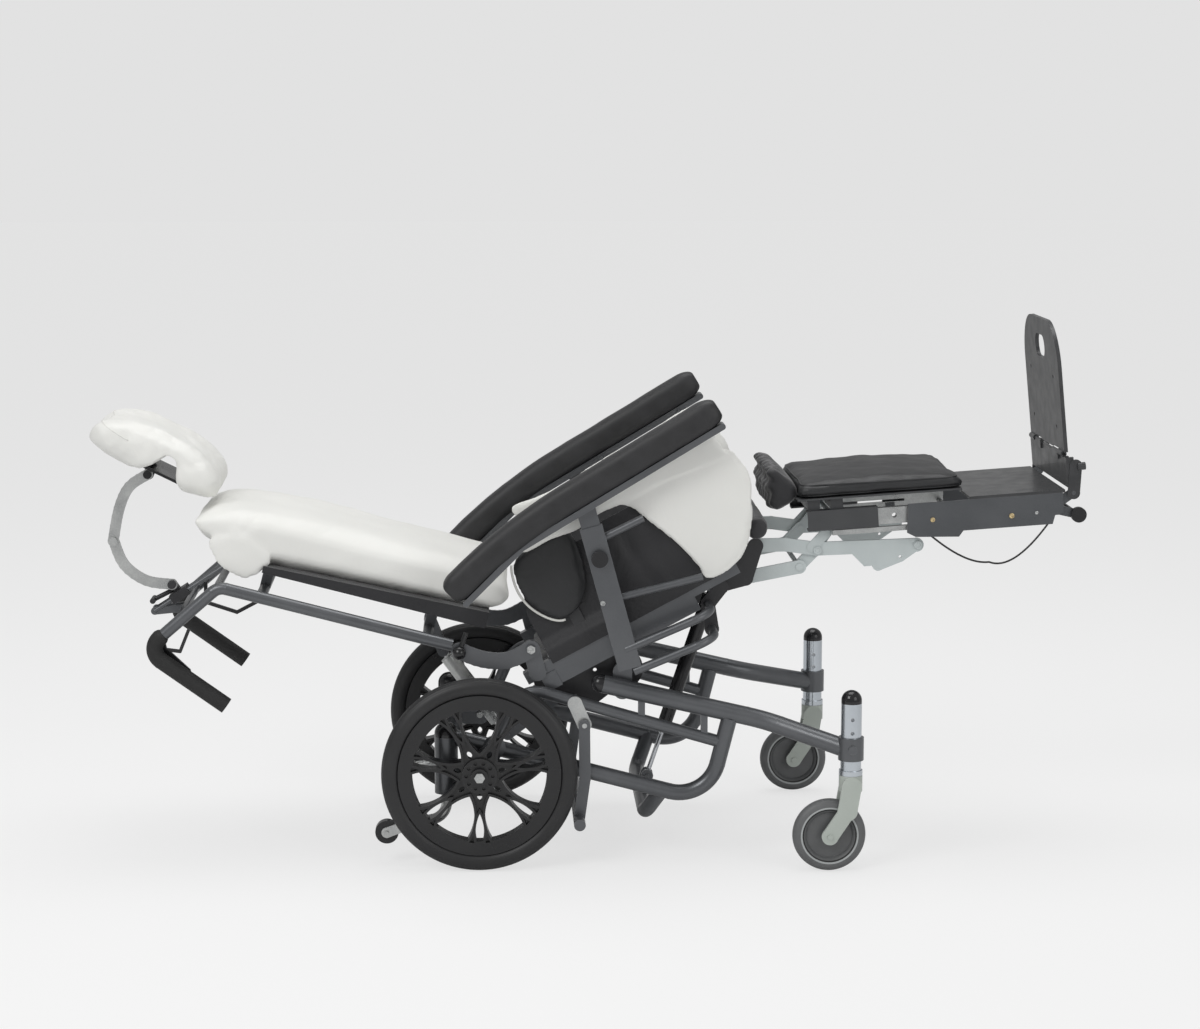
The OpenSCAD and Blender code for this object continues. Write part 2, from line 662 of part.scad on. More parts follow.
seat_rail_y = seat_rail_track / 2;
rail_box_w = 25;
rail_box_h = 26;
rail_wall = 3;
rail_start = -40;
rail_top_z = -40;
low_rail_h = 29;
low_rail_start = -12;
low_rail_end = 345;
rail_bore = 60;
pan_t = 4;
pan_start = 20;
pan_end = 440;
seat_tube_r = 12;
rear_seat_tube = [58, -148];
front_seat_tube = [402, -82];
front_seat_tube_end = 190;
hinge_lug_w = 36;
hinge_lug_t = 6;
hinge_y = 236;
hinge_bolt_r = 8;
hinge_head_r = 10;
hinge_head_h = 5;
hinge_lug_foot = [-12, -50];
clip_len = 34;
clip_start = 22;
clip_wall = 3;
yoke_w = 24;
// Foot of the recline spring and the tilt pivot, in the seat's own frame
yoke_dx = yoke_end[0] - seat_x;
yoke_dz = yoke_end[1] - seat_z;
yoke_seat = [yoke_dx * cos(seat_tilt) + yoke_dz * sin(seat_tilt), yoke_dz * cos(seat_tilt) - yoke_dx * sin(seat_tilt)];
pivot_dx = tilt_pivot_x - seat_x;
pivot_dz = tilt_pivot_z - seat_z;
pivot_seat = [pivot_dx * cos(seat_tilt) + pivot_dz * sin(seat_tilt), pivot_dz * cos(seat_tilt) - pivot_dx * sin(seat_tilt)];

module box_rail(x0, x1, z0, h) difference() {
    translate([x0, seat_rail_y - rail_box_w / 2, z0]) cube([x1 - x0, rail_box_w, h]);
    for (x = [x0 - over, x1 - rail_bore]) translate([x, seat_rail_y - rail_box_w / 2 + rail_wall, z0 + rail_wall])
        cube([rail_bore + over, rail_box_w - 2 * rail_wall, h - 2 * rail_wall]);
}
module spring_lug(from, to) {
    both_sides() plate((foot_lug_gap + foot_lug_t) / 2, foot_lug_t) link_2d([from, to], yoke_w);
    rod_y(to[0], to[1], spring_pin_r, -foot_lug_gap, foot_lug_gap);
}
module seat_frame() on_seat() color([0.36, 0.37, 0.39]) {
    both_sides() {
        box_rail(rail_start, rail_start + seat_rail_len, rail_top_z - rail_box_h, rail_box_h);
        box_rail(low_rail_start, low_rail_end, rail_top_z - rail_box_h - low_rail_h, low_rail_h);
        difference() {
            translate([clip_start - clip_len, seat_rail_y - rail_box_w / 2 - clip_wall, rail_top_z - rail_box_h - low_rail_h - clip_wall])
                cube([clip_len, rail_box_w + 2 * clip_wall, low_rail_h + 2 * clip_wall]);
            translate([low_rail_start - clip_len, seat_rail_y - rail_box_w / 2, rail_top_z - rail_box_h - low_rail_h])
                cube([clip_len * 3, rail_box_w, rail_box_h + low_rail_h]);
        }
        plate(hinge_y - hinge_lug_t / 2 - pass_gap / 2, hinge_lug_t) link_2d([[0, 0], hinge_lug_foot], hinge_lug_w);
        rod_y(0, 0, hinge_bolt_r, hinge_y - hinge_lug_t, hinge_y + hinge_lug_t + pass_gap);
        rod_y(0, 0, hinge_head_r, hinge_y + hinge_lug_t + pass_gap, hinge_y + hinge_lug_t + hinge_head_h);
    }
    translate([pan_start, -seat_rail_y, rail_top_z]) cube([pan_end - pan_start, seat_rail_track, pan_t]);
    rod_y(front_seat_tube[0], front_seat_tube[1], seat_tube_r, -front_seat_tube_end, front_seat_tube_end);
    rod_y(rear_seat_tube[0], rear_seat_tube[1], seat_tube_r, -tilt_plate_y, tilt_plate_y);
    spring_lug(front_seat_tube, tilt_top);
    spring_lug(rear_seat_tube, yoke_seat);
}

// Side plates of the seat: the tilt plates hang at the rear, and the legrest plates reach forward
tilt_plate_r = 44;
tilt_plate_from = -5;
tilt_plate_to = 208;
tilt_hole = [92, -109];
tilt_hole_r = 4;
spacer_x = [12, 196];
spacer_r = 9;
leg_plate_y = 160;
leg_plate_t = 6;
leg_plate_w = 32;
lower_pivot_seat = [455.529, -94.439];
link_pin_r = 6;
pin_head_r = 11;
pin_head_h = 3;
arm_bracket_y = 188;
arm_bracket_t = 5;
arm_bracket_w = 30;
u_front_upper = [362, -100];
u_front_lower = [345, -150];
hip_stay = [[112, -52], [112, 120]];
hip_stay_w = 26;
hip_stay_y = 216.5;
hip_stay_t = 5;

module seat_plates() on_seat() both_sides() color([0.2, 0.2, 0.21]) {
    plate(tilt_plate_y, tilt_plate_t) difference() {
        union() {
            translate([tilt_plate_from, rail_top_z - 2 * rail_box_h]) square([tilt_plate_to - tilt_plate_from, 2 * rail_box_h]);
            translate(pivot_seat) circle(r = tilt_plate_r);
            link_2d([rear_seat_tube, pivot_seat], tilt_plate_r * 1.2);
            link_2d([[tilt_plate_from + tilt_plate_r, rail_top_z - 2 * rail_box_h], pivot_seat], tilt_plate_r * 2);
        }
        translate(pivot_seat) circle(r = tilt_pin_r + run_fit);
        translate(tilt_hole) circle(r = tilt_hole_r);
    }
    for (x = spacer_x) rod_y(x, rail_top_z - rail_box_h, spacer_r, tilt_plate_y, seat_rail_y - rail_box_w / 2 + rail_wall / 2);
    plate(leg_plate_y, leg_plate_t)
        link_2d([front_seat_tube, [knee_x, knee_z], lower_pivot_seat, front_seat_tube], leg_plate_w);
    for (p = [[knee_x, knee_z], lower_pivot_seat]) {
        rod_y(p[0], p[1], link_pin_r, link_y - link_t / 2 - pass_gap, leg_plate_y);
        rod_y(p[0], p[1], pin_head_r, link_y - link_t / 2 - pass_gap - pin_head_h, link_y - link_t / 2 - pass_gap);
    }
    plate(arm_bracket_y, arm_bracket_t) link_2d([u_front_lower, u_front_upper, front_seat_tube], arm_bracket_w);
    plate(hip_stay_y, hip_stay_t) link_2d(hip_stay, hip_stay_w);
}

// Armrest sleeves: slotted flat tubes that the posts slide in, with stub tubes and two bent tubes each
arm_y = arm_track / 2;
sleeve_t = 14;
sleeve_foot = [162, -122];
sleeve_lean = 12.7;
sleeve_len = 302;
post_t = 8;
post_fit = 0.3;
u_tube_r = 9;
u_upper = [[172, -84], u_front_upper];
u_lower = [[166, -132], u_front_lower];
u_bend = 42;
u_inner_y = 188;
side_tube_r = 8;
side_upper = [[205, 140], [330, 136]];
side_lower = [[184, 22], [380, -28]];
side_tube_y = 274.5;

module on_sleeve() on_seat() translate([sleeve_foot[0], 0, sleeve_foot[1]]) rotate([0, sleeve_lean, 0]) children();
module sleeve_space(w, t, len) translate([-w / 2, arm_y - t / 2, (sleeve_len - len) / 2]) cube([w, t, len]);
module arm_sleeves() color([0.4, 0.41, 0.43]) both_sides() difference() {
    union() {
        on_sleeve() sleeve_space(sleeve_w, sleeve_t, sleeve_len);
        on_seat() {
            for (u = [u_upper, u_lower]) bent_tube([[u[0][0], arm_y, u[0][1]], [u[1][0], arm_y, u[1][1]],
                [u[1][0], u_inner_y, u[1][1]]], u_tube_r, u_bend);
            for (v = [side_upper, side_lower])
                strut([v[0][0], side_tube_y, v[0][1]], [v[1][0], side_tube_y, v[1][1]], side_tube_r);
        }
    }
    on_sleeve() sleeve_space(post_w + 2 * post_fit, post_t + 2 * post_fit, sleeve_len * 2);
}

arm_knob_at = [0, 236];
knob_r = 17;
knob_h = 15;
knob_neck_r = 9;
knob_neck_h = 5;
module arm_knobs() on_sleeve() color([0.08, 0.08, 0.08]) both_sides() {
    rod_y(arm_knob_at[0], arm_knob_at[1], knob_neck_r, arm_y + sleeve_t / 2, arm_y + sleeve_t / 2 + knob_neck_h);
    rod_y(arm_knob_at[0], arm_knob_at[1], knob_r, arm_y + sleeve_t / 2 + knob_neck_h, arm_y + sleeve_t / 2 + knob_h);
}

// Armrest posts: a flat bar that ends in the strip under the pad
post_foot = 60;
post_rise = 340;
strip_t = 13;
strip_w = 40;
strip_tail = [-66, 156];
strip_knee = [88, 203];
strip_tip = [557, 229];
panel_pin_r = 4;
panel_pins = [[300, 214], [500, 224]];

module arm_post(s) color([0.38, 0.39, 0.41]) side_of(s) {
    on_sleeve() translate([-post_w / 2, arm_y - post_t / 2, post_foot]) cube([post_w, post_t, post_rise - post_foot]);
    on_seat() {
        plate(arm_y, strip_w) link_2d([strip_tail, strip_knee, strip_tip], strip_t);
        for (p = panel_pins) rod_y(p[0], p[1], panel_pin_r, panel_y, arm_y);
    }
}
module arm_post_right() arm_post(-1);
module arm_post_left() arm_post(1);

// Armrest pads: a bent roll of soft foam with round ends
pad_sink = 1;
pad_end_out = 12;
pad_corner_a = 0.75;
pad_corner_b = 0.3;
pad_round = 0.06;
pad_power = 3.2;
pad_m = 20;
pad_n = 18;
function pad_path(a, b, c, t) = let (q = mix(b, a, pad_corner_a), s = mix(b, c, pad_corner_b), ta = 0.1, tb = 0.45)
    t < ta ? mix(a, q, t / ta) : t < tb ? bezier(q, b, s, (t - ta) / (tb - ta)) : mix(s, c, (t - tb) / (1 - tb));
module arm_pad(s) on_seat() color([0.14, 0.14, 0.15]) side_of(s) {
    lift = (strip_t + arm_pad_h) / 2 - pad_sink;
    ua = unit(strip_knee - strip_tail);
    ub = unit(strip_tip - strip_knee);
    na = [-ua[1], ua[0]];
    nb = [-ub[1], ub[0]];
    a = strip_tail + na * lift - ua * pad_end_out;
    b = strip_knee + unit(na + nb) * lift;
    c = strip_tip + nb * lift + ub * pad_end_out;
    rings = [for (t = stations(pad_m)) let (p = pad_path(a, b, c, t), step = 0.01,
            d = unit(pad_path(a, b, c, min(1, t + step)) - pad_path(a, b, c, max(0, t - step))), f = fill(t, pad_round, 0.45))
        [for (o = oval(pad_n, arm_pad_w * f, arm_pad_h * f, pad_power))
            [p[0] - d[1] * o[1], arm_y + o[0], p[1] + d[0] * o[1]]]];
    loft(rings);
}
module arm_pad_right() arm_pad(-1);
module arm_pad_left() arm_pad(1);

// White covers on the armrests' inner side: a bulged flap that hangs from a roll
panel_y = 244;
panel_t = 12;
panel_shrink = 0.05;
panel_steps = 3;
panel_roll = [[249, 210], [546, 219]];
panel_roll_r = 9;
panel_outline = [[294, 217], [404, 219], [532, 223], [553, 150], [562, 90], [532, 24], [490, -32], [430, -52],
    [368, -20], [338, 100], [318, 166]];
module side_panel(s) on_seat() color([0.93, 0.93, 0.91]) side_of(s) {
    flat_pad(smooth_loop(panel_outline, panel_steps), panel_y, panel_t, panel_shrink);
    d = unit(panel_roll[1] - panel_roll[0]);
    loft([for (e = panel_roll) [for (o = oval(soft_n / 2 + 1, 2 * panel_roll_r, 2 * panel_roll_r, 2))
        [e[0] - d[1] * o[1], panel_y + o[0], e[1] + d[0] * o[1]]]]);
}
module side_panel_right() side_panel(-1);
module side_panel_left() side_panel(1);

// Black cloth: the seat's sides, the bag under its rear and the roll along its front edge
cloth_y = 230.5;
cloth_t = 6;
cloth_outline = [[24, -52], [430, -52], [512, 4], [528, 100], [420, 166], [250, 166], [204, 150], [204, 15], [24, 15]];
bag_from = -16;
bag_to = 150;
bag_w = 372;
bag_low = [[0, -58], [0.3, -98], [0.7, -104], [1, -60]];
bag_high = [[0, -40], [1, -40]];
front_roll = [524, -2];
front_roll_r = 25;
module side_fabrics() on_seat() color([0.1, 0.1, 0.11]) {
    both_sides() plate(cloth_y, cloth_t) polygon(cloth_outline);
    cushion(bag_from, bag_to, bag_w, bag_low, bag_high, 0, 0.1, 0);
    difference() {
        rod_y(front_roll[0], front_roll[1], front_roll_r, -cloth_y, cloth_y);
        translate([seat_cushion_start, -cloth_y, rail_top_z + pan_t])
            cube([seat_cushion_len + soft_gap, cloth_y * 2, seat_cushion_h * 2]);
    }
}
hip_y = 226;
hip_t = 14;
hip_shrink = 0.08;
hip_outline = [[38, 75], [34, 137], [64, 184], [168, 190], [190, 150], [170, 70], [130, 26], [78, 22]];
module hip_panels() on_seat() color([0.13, 0.13, 0.14]) both_sides()
    flat_pad(smooth_loop(hip_outline, panel_steps), hip_y, hip_t, hip_shrink);

seat_cushion_start = 22;
seat_cushion_crown = 14;
seat_pinch = 4;
seat_nose_rise = 10;
seat_high = [[0, 12], [0.03, 22], [0.5, 26], [0.96, 24], [1, 8]];
module seat_cushion() on_seat() color([0.92, 0.92, 0.9]) cushion(seat_cushion_start, seat_cushion_start + seat_cushion_len,
    seat_cushion_w, [[0, rail_top_z + pan_t], [0.95, rail_top_z + pan_t], [1, rail_top_z + pan_t + seat_nose_rise]],
    seat_high, seat_cushion_crown, 0.06, seat_pinch);

// Backrest, drawn with X pointing forward along the back tubes

tube_line = -33;
back_r = back_tube_d / 2;
back_tube_y = 235;
back_front = [-158, tube_line];
back_bend_at = [-648, tube_line];
handle_end = [-760, -196];
grip_end = [-576, -268];
grip_bend = 30;
arm_blank_w = 35;
arm_blank_t = 6;
arm_pts = [[-141, -40], [-90, -45], [-40, -34], [0, 0]];
back_cross_x = [-210, -560];
back_cross_r = 11;
board_post = [22, 6];
board_post_y = 120;
recline_dx = recline_top[0] - seat_x;
recline_dz = recline_top[1] - seat_z;
back_hanger = [recline_dx * cos(back_rise) - recline_dz * sin(back_rise), recline_dz * cos(back_rise) + recline_dx * sin(back_rise)];
// Twin rods that the headrest's carriage slides on, between two cross bars
head_rail_low = [-655, -26];
head_rail_high = [-776, -158];
head_rod_r = 5;
head_rod_y = 16;
head_bar_r = 8;
head_bar_low = [-650, tube_line];
head_bar_high = [-716, -136];
head_end_t = 5;
head_end_w = 16;
// Pins for the hand levers
lever_y = 213;
lever_t = 6;
lever_pin_r = 4;
lever_right_pivot = [-738, -166];
lever_left_pivot = [-700, -111];

module back_frame() on_back() color([0.36, 0.37, 0.39]) {
    both_sides() {
        bent_tube([[back_front[0], back_tube_y, back_front[1]], [back_bend_at[0], back_tube_y, back_bend_at[1]],
            [handle_end[0], back_tube_y, handle_end[1]], [grip_end[0], back_tube_y, grip_end[1]]], back_r, grip_bend);
        plate(hinge_y + arm_blank_t / 2, arm_blank_t) difference() {
            link_2d(smooth_path(arm_pts, curve_steps), arm_blank_w);
            circle(r = hinge_bolt_r + run_fit);
        }
        for (x = back_cross_x) translate([x - board_post[0] / 2, board_post_y - board_post[1] / 2, tube_line])
            cube([board_post[0], board_post[1], board_z - tube_line]);
    }
    for (x = back_cross_x) rod_y(x, tube_line, back_cross_r, -back_tube_y, back_tube_y);
    spring_lug([back_cross_x[0], tube_line], back_hanger);
    for (y = [-head_rod_y, head_rod_y]) strut([head_rail_low[0], y, head_rail_low[1]], [head_rail_high[0], y, head_rail_high[1]], head_rod_r);
    rod_y(head_bar_low[0], head_bar_low[1], head_bar_r, -back_tube_y, back_tube_y);
    rod_y(head_bar_high[0], head_bar_high[1], head_bar_r, -back_tube_y, back_tube_y);
    both_sides() plate(head_rod_y, head_end_t) link_2d([head_bar_high, head_rail_high], head_end_w);
    rod_y(lever_left_pivot[0], lever_left_pivot[1], lever_pin_r, lever_y - lever_t, back_tube_y);
    rod_y(lever_right_pivot[0], lever_right_pivot[1], lever_pin_r, -back_tube_y, lever_t - lever_y);
}

board_low = 14;
board_high = 34;
board_from = -571;
board_to = -100;
board_z = 12;
module back_board() on_back() color([0.1, 0.1, 0.11]) plate(0, back_cushion_w - 2 * soft_gap)
    polygon([[board_from, board_z], [board_to, board_z], [board_to, board_z + board_high], [board_from, board_z + board_low]]);

cushion_from = -742;
cushion_to = cushion_from + back_cushion_len;
board_rise = (board_high - board_low) / (board_to - board_from);
function board_top(x) = board_z + (x < board_from ? board_low : x > board_to ? board_high : board_low + board_rise * (x - board_from));
back_crown = 6;
back_pinch = 4;
back_low = [[0, 72], [0.03, 52], [0.12, 33], [0.25, board_top(board_from)], [0.938, board_top(board_to)],
    [0.98, board_top(board_to) + 8], [1, 80]];
back_high = [[0, 78], [0.02, 92], [0.06, 105], [0.12, 116], [0.22, 125], [0.35, 129], [0.92, 129], [0.98, 112], [1, 86]];
flap = [[-700, 44], [-669, 2], [-609, -16], [-574, 8], [-560, 40], [-630, 60]];
flap_t = 4;
module back_cushion() on_back() color([0.93, 0.93, 0.91]) {
    cushion(cushion_from, cushion_to, back_cushion_w, back_low, back_high, back_crown, 0.1, back_pinch);
    both_sides() plate(back_cushion_w / 2 + soft_gap - flap_t / 2, flap_t) polygon(flap);
}

grip_start = [-738, -164];
grip_stop = [-574, -268.5];
module push_grips() on_back() color([0.1, 0.1, 0.1]) both_sides() difference() {
    bent_tube([[grip_start[0], back_tube_y, grip_start[1]], [handle_end[0], back_tube_y, handle_end[1]],
        [grip_stop[0], back_tube_y, grip_stop[1]]], grip_d / 2, grip_bend);
    bent_tube([[back_bend_at[0], back_tube_y, back_bend_at[1]], [handle_end[0], back_tube_y, handle_end[1]],
        [grip_end[0], back_tube_y, grip_end[1]]], back_r, grip_bend);
}

ball_r = 14;
ball_at = [-141, -42];
ball_lever = [-138, 2];
ball_lever_r = 5;
module ball_knobs() on_back() color([0.05, 0.05, 0.05]) both_sides() {
    translate([ball_at[0], hinge_y + arm_blank_t + ball_r * 0.75, ball_at[1]]) sphere(r = ball_r);
    strut([ball_at[0], hinge_y + arm_blank_t + ball_lever_r, ball_at[1]],
        [ball_lever[0], hinge_y + arm_blank_t + ball_lever_r, ball_lever[1]], ball_lever_r);
}

// Hand levers under the push handles
lever_w = 12;
wire_w = 8;
lever_right_path = [lever_right_pivot, [-725, -190], [-668, -222]];
lever_left_path = [lever_left_pivot, [-689, -159], [-617, -164], [-582, -132]];
lever_rod = [[-725, -190], [-693, -186], [-687, -140]];
lever_rod_w = 7;
module lever_right() on_back() color([0.08, 0.08, 0.08]) plate(-lever_y, lever_t) difference() {
    union() {
        link_2d(lever_right_path, lever_w);
        link_2d(lever_rod, lever_rod_w);
    }
    translate(lever_right_pivot) circle(r = lever_pin_r + run_fit);
}
module lever_left() on_back() color([0.08, 0.08, 0.08]) plate(lever_y, lever_t) difference() {
    union() {
        translate(lever_left_pivot) circle(d = lever_w);
        link_2d(lever_left_path, wire_w);
    }
    translate(lever_left_pivot) circle(r = lever_pin_r + run_fit);
}

// Headrest: a carriage on the twin rods, two flat curved arms, and a cushion on a shell
head_base = [-754, -93];
head_elbow = [-894.2, -32];
head_tilt = [-857, 123];
carriage_at = [-733, -111];
carriage_len = 42;
carriage_w = 48;
carriage_h = 20;
head_arm_y = -18;
head_arm_t = 5;
head_arm_step = 6;
head_pin_r = 5;
head_nut_r = 9;
head_nut_h = 4;
head_plate_t = 6;
head_plate_w = 26;
t_knob_from = [-743, -101];
t_knob_at = [-785, -138];
t_knob_r = 5;
t_knob_bar_r = 6;
t_knob_bar = 20;
rail_angle = atan2(head_rail_high[1] - head_rail_low[1], head_rail_low[0] - head_rail_high[0]);
module headrest_rail() on_back() color([0.2, 0.2, 0.21]) {
    difference() {
        translate([carriage_at[0], 0, carriage_at[1]]) rotate([0, rail_angle, 0])
            translate([-carriage_len / 2, -carriage_w / 2, -carriage_h / 2]) cube([carriage_len, carriage_w, carriage_h]);
        for (y = [-head_rod_y, head_rod_y])
            strut([head_rail_low[0], y, head_rail_low[1]], [head_rail_high[0], y, head_rail_high[1]], head_rod_r + run_fit);
    }
    plate(0, head_plate_t * 3.5) link_2d([carriage_at, head_base], head_plate_w / 2);
    rod_y(head_base[0], head_base[1], head_pin_r, head_arm_y - head_arm_t - head_nut_h, head_plate_t);
    rod_y(head_base[0], head_base[1], head_nut_r, head_arm_y - head_arm_t - head_nut_h, head_arm_y - head_arm_t / 2 - pass_gap);
    strut([t_knob_from[0], 0, t_knob_from[1]], [t_knob_at[0], 0, t_knob_at[1]], t_knob_r);
    rod_y(t_knob_at[0], t_knob_at[1], t_knob_bar_r, -t_knob_bar, t_knob_bar);
}
head_low_path = [head_base, [-808.5, -98.4], [-860.7, -76.9], head_elbow];
head_high_path = [head_elbow, [-897.9, 37.4], [-888, 88], head_tilt];
module headrest_arm_lower() on_back() color([0.5, 0.52, 0.54]) {
    plate(head_arm_y, head_arm_t) difference() {
        link_2d(smooth_path(head_low_path, curve_steps), headrest_arm_w);
        translate(head_base) circle(r = head_pin_r + run_fit);
    }
    rod_y(head_elbow[0], head_elbow[1], head_pin_r, head_arm_y - head_arm_step - head_arm_t - head_nut_h, head_arm_y);
    rod_y(head_elbow[0], head_elbow[1], head_nut_r, head_arm_y - head_arm_step - head_arm_t - head_nut_h,
        head_arm_y - head_arm_step - head_arm_t / 2 - pass_gap);
}
module headrest_arm_upper() on_back() color([0.5, 0.52, 0.54]) plate(head_arm_y - head_arm_step, head_arm_t) difference() {
    link_2d(smooth_path(head_high_path, curve_steps), headrest_arm_w);
    for (p = [head_elbow, head_tilt]) translate(p) circle(r = head_pin_r + run_fit);
}
head_mid = [-842, 176];
head_pitch = 11.7;
head_len = 296;
head_h = 92;
head_bend = 16;
head_power = 2.7;
head_round = 0.16;
head_wing = 10;
shell_len = 120;
shell_t = 6;
shell_w = 150;
shell_drop = 38;
shell_shift = 8;
shell_lug_drop = 55;
notch = [74, 100, 26];
notch_shift = 3;
module on_head() on_back() translate([head_mid[0], 0, head_mid[1]]) rotate([0, head_pitch, 0]) children();
module headrest_shell() color([0.1, 0.1, 0.11]) {
    on_head() {
        translate([-shell_len / 2 + shell_shift, -shell_w / 2, -shell_drop]) cube([shell_len, shell_w, shell_t]);
        plate(head_arm_y, head_arm_t) link_2d([[-shell_t / 2, -shell_drop], [-shell_t / 2, -shell_lug_drop]], headrest_arm_w);
    }
    on_back() {
        rod_y(head_tilt[0], head_tilt[1], head_pin_r, head_arm_y - head_arm_step - head_arm_t - head_nut_h, head_arm_y);
        rod_y(head_tilt[0], head_tilt[1], head_nut_r, head_arm_y - head_arm_step - head_arm_t - head_nut_h,
            head_arm_y - head_arm_step - head_arm_t / 2 - pass_gap);
    }
}
module headrest_cushion() on_head() color([0.93, 0.93, 0.91]) difference() {
    loft([for (t = stations(soft_m))
    let (f = fill(t, head_round, 0.55), y = (t - 0.5) * headrest_w)
        [for (o = oval(soft_n, head_len * mix(1, f, 0.5), head_h * f, head_power)) let (u = 2 * o[0] / head_len)
            [o[0], -y, o[1] - head_bend * u * u + head_wing * pow(2 * t - 1, 2)]]]);
    translate([notch_shift - notch[0] / 2, -notch[1] / 2, -shell_drop - notch[2]]) cube(notch);
    translate([-shell_len / 2 + shell_shift, -shell_w / 2, -shell_drop]) cube([shell_len, shell_w, shell_t]);
}

// Legrest, drawn with X along the leg from the knee pivot

link_y = 152;
link_t = 6;
link_w = 29;
link_tip_w = 18;
crank_y = 144;
a_pin = [128, -17];
b_pin = [89, -52];
c_pin = [336, -24];
t_pin = [173, 38];
knee_drop = lower_pivot_seat - [knee_x, knee_z];
leg_drop = seat_tilt - leg_rise;
b_root = [knee_drop[0] * cos(leg_drop) - knee_drop[1] * sin(leg_drop), knee_drop[0] * sin(leg_drop) + knee_drop[1] * cos(leg_drop)];
tie_rod_r = 5;
// How far the lower links' pin travels in the cranks' slots, and its clearance there
b_play = [5.5, 1];
b_open_fit = 1.5;
hanger_low = [253, -61];
hanger_mid = [300, -46];
riser = [[118, -12], [146, 14]];
riser_w = 22;
riser_y = 154.5;
riser_t = 5;
channel_from = 110;
channel_to = 256;
channel_low = 24;
channel_high = 66;
channel_y = 152;
channel_w = 26;
channel_wall = 3.5;
pad_board_z = 88;
pad_board_t = 4;
pad_board_from = 92;
pad_support_x = [112, 160];
pad_support_w = 26;
pad_support_low = 66;
rivet_r = 8;
rivet_h = 2.5;

module leg_frame() on_leg() color([0.32, 0.33, 0.35]) {
    both_sides() {
        difference() {
            translate([channel_from, channel_y, channel_low]) cube([channel_to - channel_from, channel_w, channel_high - channel_low]);
            translate([channel_from - over, channel_y - over, channel_low + channel_wall])
                cube([channel_to - channel_from + 2 * over, channel_w - channel_wall + over, channel_high - channel_low - 2 * channel_wall]);
        }
        plate(link_y, link_t) difference() {
            union() {
                link_2d([[0, 0], [a_pin[0] / 2, -channel_wall], a_pin, c_pin], link_w);
                polygon([a_pin + [link_w * 2, 0], c_pin, hanger_low, hanger_low - [link_w, 0]]);
                link_2d([c_pin, hanger_mid, hanger_low], link_w * 0.8);
            }
            circle(r = link_pin_r + run_fit);
            translate(hanger_mid) circle(r = link_pin_r / 2);
        }
        plate(riser_y, riser_t) link_2d(riser, riser_w);
        rod_y(a_pin[0], a_pin[1], tie_rod_r, crank_y - link_t / 2 - rivet_h, link_y);
        for (p = [a_pin, c_pin]) rod_y(p[0], p[1], rivet_r, link_y + link_t / 2, link_y + link_t / 2 + rivet_h);
    }
    for (x = pad_support_x) translate([x, -channel_y - channel_w / 2, pad_support_low])
        cube([pad_support_w, 2 * channel_y + channel_w, pad_board_z - pad_support_low]);
    translate([pad_board_from, -calf_pad_w / 2 + pad_support_w / 2, pad_board_z])
        cube([calf_pad_len - pad_support_w / 2, calf_pad_w - pad_support_w, pad_board_t]);
}
calf_from = 89;
calf_crown = 9;
calf_pinch = 3;
calf_low = [[0, pad_board_z + pad_board_t], [1, pad_board_z + pad_board_t]];
calf_high = [[0, 116], [0.03, 124], [0.5, 128], [0.93, 121], [1, 110]];
module calf_pad() on_leg() color([0.12, 0.12, 0.13])
    cushion(calf_from, calf_from + calf_pad_len, calf_pad_w, calf_low, calf_high, calf_crown, 0.06, calf_pinch);
// Gaiter: pleated cloth that closes the gap behind the calf pad
gaiter_w = 300;
gaiter_t = 5;
gaiter_outline = [[94, 90], [94, 116], [74, 138], [52, 158], [34, 152], [42, 132], [30, 118], [36, 100], [32, 82], [46, 66], [70, 74]];
gaiter_fold = 5;
gaiter_m = 12;
module gaiter() on_leg() color([0.1, 0.1, 0.1]) loft([for (i = [0 : gaiter_m])
    [for (p = smooth_loop(gaiter_outline, 2)) [p[0] + (p[0] < calf_from - gaiter_t ? gaiter_fold * (0.5 + cos(i * 120) / 2) : 0),
        (0.5 - i / gaiter_m) * gaiter_w, p[1]]]]);

module crank_links() on_leg() color([0.75, 0.79, 0.78]) {
    both_sides() plate(crank_y, link_t) difference() {
        union() {
            link_2d([b_pin, a_pin], link_w * 0.9);
            link_2d([a_pin, t_pin], link_tip_w);
        }
        translate(a_pin) circle(r = tie_rod_r + run_fit);
        for (t = slot_shares) translate(b_pin + b_play * t) circle(r = tie_rod_r + b_open_fit);
    }
    rod_y(t_pin[0], t_pin[1], tie_rod_r, -link_y + link_t / 4, link_y - link_t / 4);
}
module lower_links() on_leg() color([0.75, 0.79, 0.78]) {
    both_sides() plate(link_y, link_t) difference() {
        link_2d([b_root, b_pin], link_w);
        translate(b_root) circle(r = link_pin_r + run_fit);
    }
    rod_y(b_pin[0], b_pin[1], tie_rod_r, -link_y, link_y);
    both_sides() rod_y(b_pin[0], b_pin[1], rivet_r, link_y + link_t / 2, link_y + link_t / 2 + rivet_h);
}
